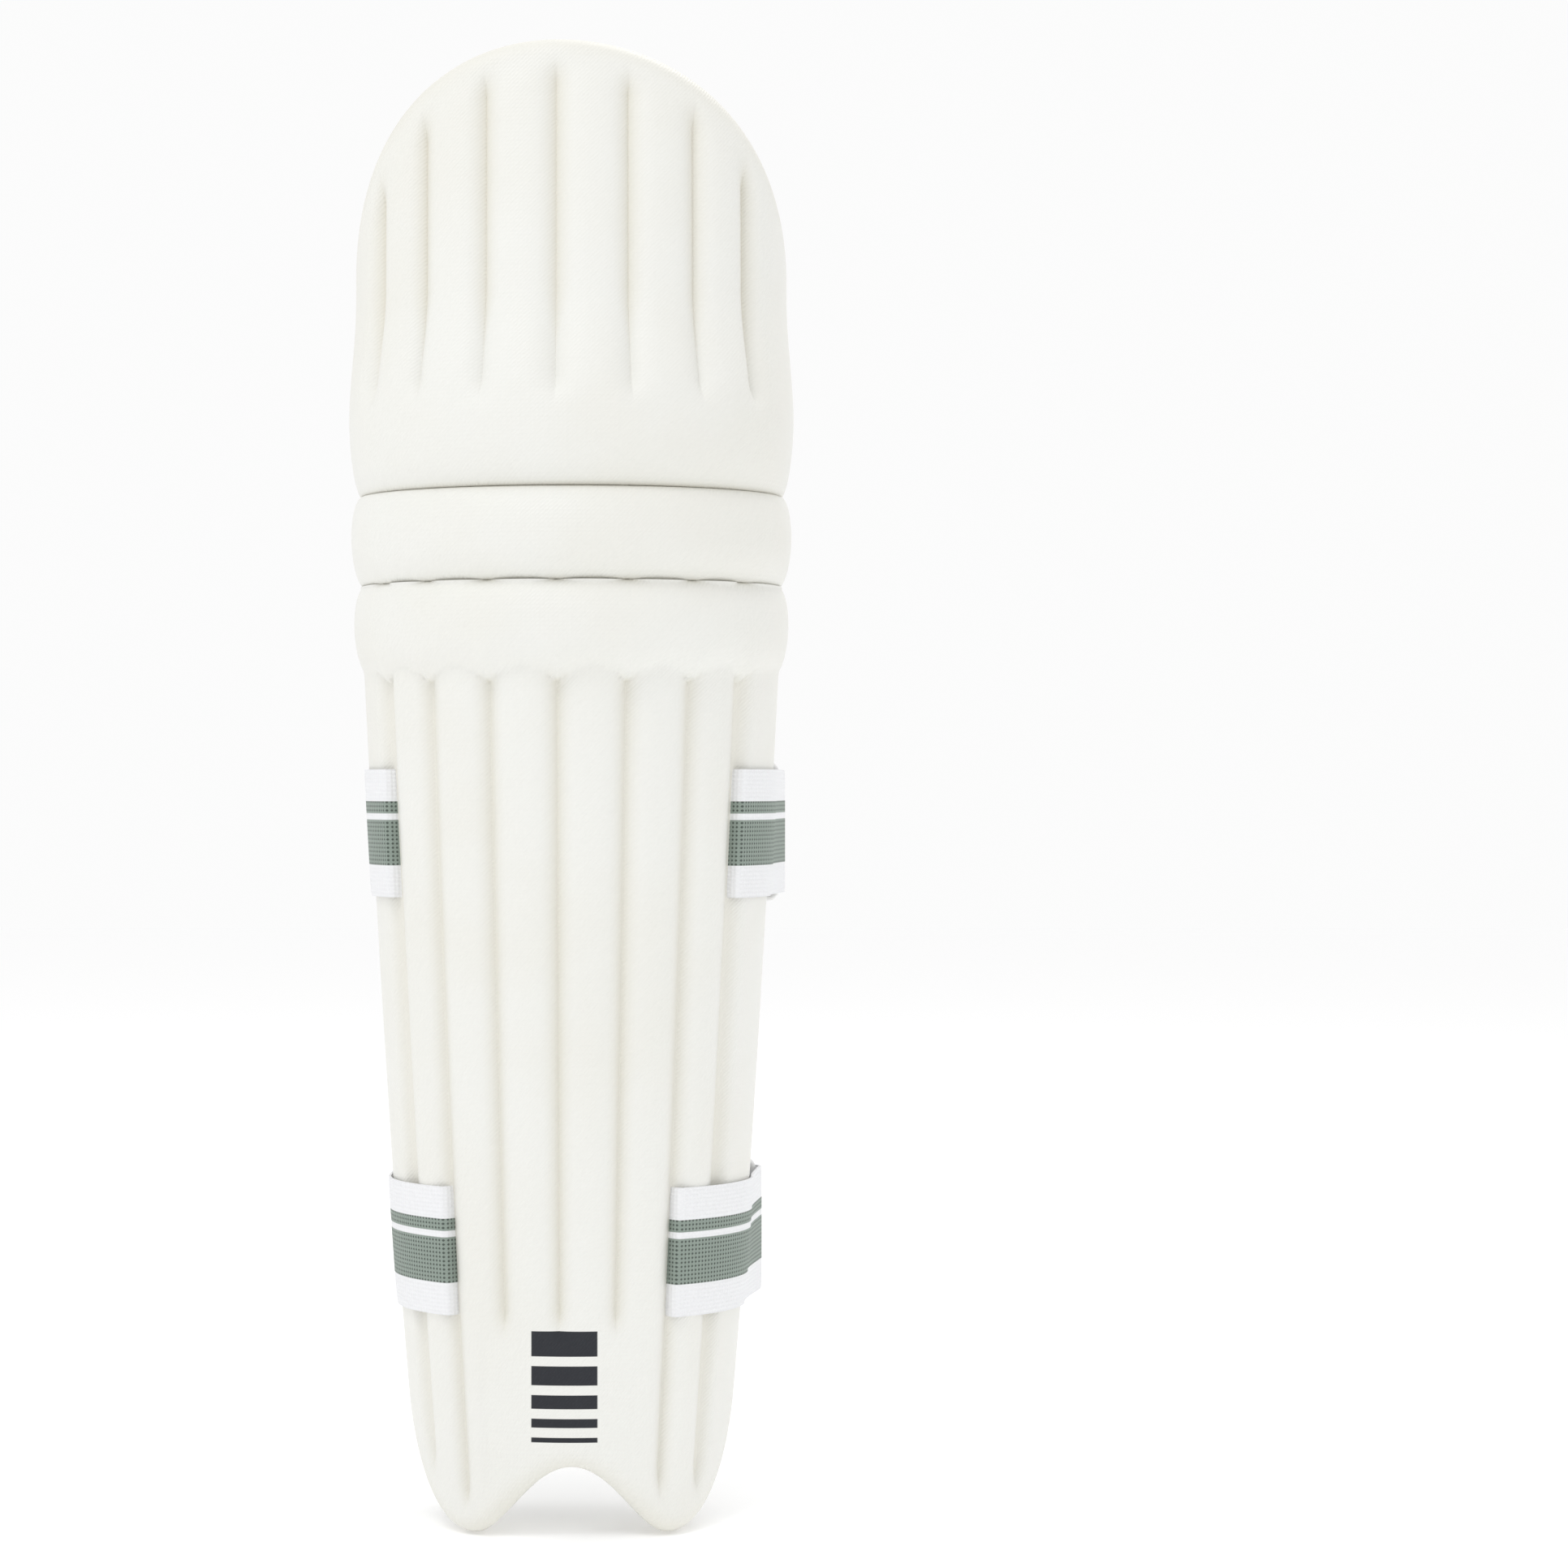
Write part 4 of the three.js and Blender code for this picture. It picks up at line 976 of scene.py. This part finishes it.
def line_on(angles, heights, depth, step=0.0008):
    """Points behind the skin along a line given by matching angles and heights."""
    p = metres(skin(np.array(angles, float), np.array(heights, float), -depth))
    lengths = np.concatenate([[0], np.cumsum(np.linalg.norm(np.diff(p, axis=0), axis=1))])
    at = np.arange(0, lengths[-1], step)
    return np.stack([np.interp(at, lengths, p[:, k]) for k in range(3)], -1)


SHIN_FRONT = SHELL + 4.6  # depth of the shin bolsters' front faces
LINING_EDGE = 94
SHIN_HIGH = LOWER_CREASE - 36 - 7  # the shin bolsters' upper end, below the knee block


def make_shin_lining():
    for node in ("shin_bolster_left", "shin_bolster_right"):
        piece = cushion(node, GREY, "grey_lining", SHIN_FRONT + 1.1, cap=0.007,
                        shape=puckers(node, 0.02, 0.0009, 0.012), grow=(0.0006, 0.0015))
        side = -1 if "left" in node else 1
        heights = np.linspace(bottom_edge(LINING_EDGE) + 46, SHIN_HIGH - 3, 120)
        path = line_on(np.full(120, side * (LINING_EDGE - 6)), heights, SHIN_FRONT + 20)
        stitches(node + "_stitching", piece, path, "shin", THREAD)
    cushion("shin_bolster_middle", SHIN_SATIN, "white_lining", SHIN_FRONT + 1.1, cap=0.003,
            shape=puckers("shin_bolster_middle", 0.017, 0.0007, 0.010), grow=(0.001, 0.0015))
    # The sheet is a darker copy of the grey lining: painted shade at the bolsters' edges.
    add_sheet("shin_lining_sheet", "shin", SHADED_SHEET)


def make_knee_block():
    for node, material, slot in (
        ("knee_bolster_left", GREY, "grey_lining"),
        ("knee_bolster_middle", KNEE_SATIN, "white_lining"),
        ("knee_bolster_right", GREY, "grey_lining"),
    ):
        cushion(node, material, slot, SHELL + 8, cap=0.008, shape=puckers(node),
                grow=(0.0012, 0.0022))


def make_top_lining():
    low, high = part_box("top_lining_pad")
    seams = [
        channel(0.024, 0.037, low.z, high.z, 0.0042),
        channel(-0.007, -0.020, low.z, high.z, 0.0042),
        channel(-0.038, -0.049, low.z, low.z + 0.10, 0.0030, fade=0.03),
    ]
    cushion("top_lining_pad", TOP_SATIN, "white_lining", SHELL + 2.4, cap=0.005, seams=seams,
            shape=puckers("top_lining_pad", 0.02, 0.0008, 0.012), grow=(0.0005, 0.0015))
    add_sheet("top_lining_sheet", "top", WHITE_SATIN)


def add_sheet(node, body, material):
    """The cloth that the bolsters are sewn to."""
    obj = copy_of(node, node + "_cloth")
    modify(obj, "SUBSURF", subdivision_type="SIMPLE", levels=2, render_levels=2)
    apply_all(obj)
    obj.data.shade_smooth()
    obj.data.set_sharp_from_angle(angle=math.radians(40))
    shade(obj, material)
    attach(obj, body)
    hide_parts(node)
    return obj


# ------------------------------------------------------------------ straps
def chaikin(points, times=3):
    """A line of points with its corners cut."""
    for _ in range(times):
        a, b = points[:-1], points[1:]
        cut = np.empty((2 * len(a), 2))
        cut[0::2], cut[1::2] = 0.75 * a + 0.25 * b, 0.25 * a + 0.75 * b
        points = np.concatenate([points[:1], cut, points[-1:]])
    return points


def resampled(points, count):
    """A line as count even points, and how far along it each is."""
    lengths = np.concatenate([[0], np.cumsum(np.linalg.norm(np.diff(points, axis=0), axis=1))])
    at = np.linspace(0, lengths[-1], count)
    return np.stack([np.interp(at, lengths, points[:, k]) for k in range(2)], -1), at


def ribbon(name, path, middle, material, slot, count=160, width=WEBBING_WIDTH, thick=WEBBING,
           wave=None, start=0.0, levels=15):
    """Webbing along path(z), its centreline at a height. wave(s, v) moves it by (y, z)."""
    v = np.linspace(0, 1, levels)
    outer, inner, uv = (np.zeros((count, levels, k)) for k in (3, 3, 2))
    for j, t in enumerate(v):
        z = middle + (t - 0.5) * width
        p, at = resampled(path(z), count)
        along = np.gradient(p, axis=0)
        along /= np.linalg.norm(along, axis=1, keepdims=True)
        normal = np.stack([-along[:, 1], along[:, 0]], -1)
        edge = thick / 2 * (1 - 0.35 * (abs(2 * t - 1) > 0.99))
        shift = np.zeros((count, 2))
        if wave:
            shift = np.array([wave(s, t) for s in at / at[-1]])
        for grid, sign in ((outer, 1), (inner, -1)):
            grid[:, j, :2] = p + sign * edge * normal
            grid[:, j, 1] += shift[:, 0]
            grid[:, j, 2] = z + shift[:, 1]
        uv[:, j, 0], uv[:, j, 1] = (start + at) / 1000, t
    piece = solid(name, outer, inner, uv)
    shade(piece, material)
    return piece


def from_slot(slot_angle, last, z):
    """Webbing that comes out of the shell at one angle and runs round it to another."""
    side = math.copysign(1, slot_angle)
    inside = skin(np.linspace(slot_angle - side * 22, slot_angle - side * 1, 8), z, -STRAP_IN)
    outside = skin(np.linspace(slot_angle + side * 1, last, 24), z, STRAP_OUT)
    return np.concatenate([inside, outside])[:, :2]


def arc(x, y, radius, start, end, count):
    t = np.radians(np.linspace(start, end, count))
    return np.stack([x + radius * np.cos(t), y + radius * np.sin(t)], -1)


def make_strap(name, strap):
    """One strap: webbing, fold, flap, tapes, the ring's tab and the ring."""
    middle = strap["z"]
    top = middle + WEBBING_WIDTH / 2
    run_y = float(wing_back(top)) + 2.5 + WEBBING / 2
    fold = RING_BAR / 2 + RING_PLAY + WEBBING / 2
    ring_y = run_y + fold
    outer_x = float(half_width(middle)) + 6
    inner_x = outer_x - RING_WIDTH + RING_BAR
    flap_y = ring_y + fold

    def long_path(z):
        rim = skin(-WING_ANGLE, z, STRAP_OUT)
        turn = [[rim[0] + 0.8, (rim[1] + run_y) / 2 + 0.8], [rim[0] + 4, run_y]]
        run = np.stack([np.linspace(rim[0] + 12, inner_x - 1, 16), np.full(16, run_y)], -1)
        out = from_slot(groove(strap["long"]), -WING_ANGLE, z)
        return chaikin(np.concatenate([out, turn, run]))

    piece = ribbon(f"{name}_strap_webbing", long_path, middle, WEBBING_CLOTH, "webbing", 260)
    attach(piece, "shin")
    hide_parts(f"{name}_strap")

    def fold_path(z):
        return np.concatenate([[[inner_x - 1.2, run_y]], arc(inner_x, ring_y, fold, -90, 90, 24),
                               [[inner_x - 1.2, flap_y]]])

    piece = ribbon(f"{name}_fold_webbing", fold_path, middle, WEBBING_CLOTH, "webbing", 40)
    tuple(metres([inner_x, ring_y - fold, middle]))
    tuple(metres([inner_x, ring_y + fold, middle]))
    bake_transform(piece)
    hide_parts(f"{name}_strap_fold")

    def flap_wave(s, t):
        away = min(1, 3 * s)
        ripple = 0.6 * math.sin(7 * s + 2 * t) + 0.35 * math.sin(19 * s - 3 * t)
        return 0.3 * ripple * away, -2.2 * s * s + 0.5 * ripple * away

    def flap_path(z):
        xs = np.linspace(inner_x - 1, strap["end"], 30)
        return np.stack([xs, np.full(30, flap_y)], -1)

    piece = ribbon(f"{name}_flap_webbing", flap_path, middle, WEBBING_CLOTH, "webbing", 120,
                   wave=flap_wave)
    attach(piece, f"{name}_flap")
    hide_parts(f"{name}_flap")
    flap_stitches(name, piece, strap["end"], inner_x, middle)

    for kind, body, material, slot in (
        ("hook", f"{name}_flap", HOOK, "hook_tape"),
        ("loop", "shin", LOOP, "loop_tape"),
    ):
        node = f"{name}_{kind}_tape"
        low, high = (1000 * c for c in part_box(node))
        y = (low.y + high.y) / 2

        def tape_path(z, low=low, high=high, y=y):
            return np.array([[low.x, y], [high.x, y]])

        tape = ribbon(node + "_strip", tape_path, middle, material, slot, 60, TAPE_WIDTH, TAPE)
        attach(tape, body)
        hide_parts(node)

    def tab_path(z):
        leave = skin(92, z, STRAP_OUT)[:2]
        eye = arc(outer_x, ring_y, fold, -20, 200, 24)
        away = leave - eye[0]
        back = eye[-1] + away / np.linalg.norm(away) * 12
        back[0] += fold * 0.6
        points = np.concatenate([from_slot(groove(strap["tab"]), 84, z), [leave], eye, [back]])
        return chaikin(points, 2)

    piece = ribbon(f"{name}_tab_webbing", tab_path, middle, WEBBING_CLOTH, "webbing", 220)
    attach(piece, "shin")
    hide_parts(f"{name}_ring_tab")
    make_ring(name, inner_x, outer_x, ring_y, middle)


BOX_STITCH = 62  # the box stitching stops this far from the fold
STITCH_STEP = 0.8


def flap_stitches(name, piece, end, inner_x, middle):
    """Hems at the flap's two ends and box stitching near its free end."""
    body = f"{name}_flap"
    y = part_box(f"{name}_flap")[1].y + 0.001
    half = WEBBING_WIDTH / 2 - 2.5

    def at(x, z):
        p = metres([x, 0, z])
        return (p[0], y, p[2])

    for k, x in enumerate((end + 4, end + 7, inner_x - BOX_STITCH)):
        path = [at(x, z) for z in np.arange(middle - half, middle + half, STITCH_STEP)]
        stitches(f"{name}_hem_{k}", piece, path, body, THREAD)
    for k, z in enumerate((middle + half, middle - half)):
        path = [at(x, z) for x in np.arange(end + 4, inner_x - BOX_STITCH, STITCH_STEP)]
        stitches(f"{name}_edge_stitching_{k}", piece, path, body, THREAD)


def make_ring(name, inner_x, outer_x, ring_y, middle):
    """A rounded rectangular ring of round bar."""
    r = RING_BAR / 2
    half_x = (outer_x - inner_x) / 2
    half_z = WEBBING_WIDTH / 2 + 1.2 + r
    corner = RING_CORNER
    centre_x = (inner_x + outer_x) / 2
    path = []
    for sx, sz, start in ((1, 1, 0), (-1, 1, 90), (-1, -1, 180), (1, -1, 270)):
        cx, cz = centre_x + sx * (half_x - corner), middle + sz * (half_z - corner)
        for t in np.radians(np.linspace(start, start + 90, 9)):
            path.append((cx + corner * math.cos(t), cz + corner * math.sin(t)))
    path = np.array(path)
    along = np.roll(path, -1, 0) - np.roll(path, 1, 0)
    along /= np.linalg.norm(along, axis=1, keepdims=True)
    out = np.stack([along[:, 1], -along[:, 0]], -1)
    bm = bmesh.new()
    rings = []
    for p, n in zip(path, out):
        ring = []
        for t in np.linspace(0, 2 * math.pi, BAR_SIDES, endpoint=False):
            point = [p[0] + n[0] * r * math.cos(t), ring_y + r * math.sin(t),
                     p[1] + n[1] * r * math.cos(t)]
            ring.append(bm.verts.new(metres(point)))
        rings.append(ring)
    for one, two in zip(rings, rings[1:] + rings[:1]):
        for k in range(BAR_SIDES):
            after = (k + 1) % BAR_SIDES
            bm.faces.new((one[k], one[after], two[after], two[k]))
    bmesh.ops.recalc_face_normals(bm, faces=bm.faces)
    mesh = bpy.data.meshes.new(f"{name}_ring_frame")
    bm.to_mesh(mesh)
    bm.free()
    mesh.shade_smooth()
    piece = shade(link(f"{name}_ring_frame", mesh), PLASTIC)
    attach(piece, f"{name}_ring")
    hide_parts(f"{name}_ring")


LABEL_HALF = 0.4  # half the folded label's thickness


def make_label():
    """A folded blank label, standing out of the knee block's side seam."""
    low, high = (1000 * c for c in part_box("size_label"))
    low.z += LOWER_CREASE
    high.z += LOWER_CREASE
    t = LABEL_HALF
    y = np.linspace(low.y, high.y, 14)
    z = np.linspace(low.z, high.z, 40)
    yy, zz = np.meshgrid(y, z, indexing="ij")
    out = (yy - low.y) / (high.y - low.y)
    x = low.x + t + (high.x - low.x - 2 * t) * out
    x += 0.9 * np.sin((zz - low.z) / (high.z - low.z) * math.pi * 2) * out
    uv = np.stack([yy / 1000, zz / 1000], -1)
    outer = np.stack([x + t, yy, zz], -1)
    inner = np.stack([x - t, yy, zz], -1)
    piece = shade(solid("blank_label", outer, inner, uv), WHITE_SATIN)
    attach(piece, "upper_roll")
    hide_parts("size_label")


setting()
make_shell()
make_shin_lining()
make_knee_block()
make_top_lining()
for strap_name, strap_sizes in STRAPS.items():
    make_strap(strap_name, strap_sizes)
make_label()
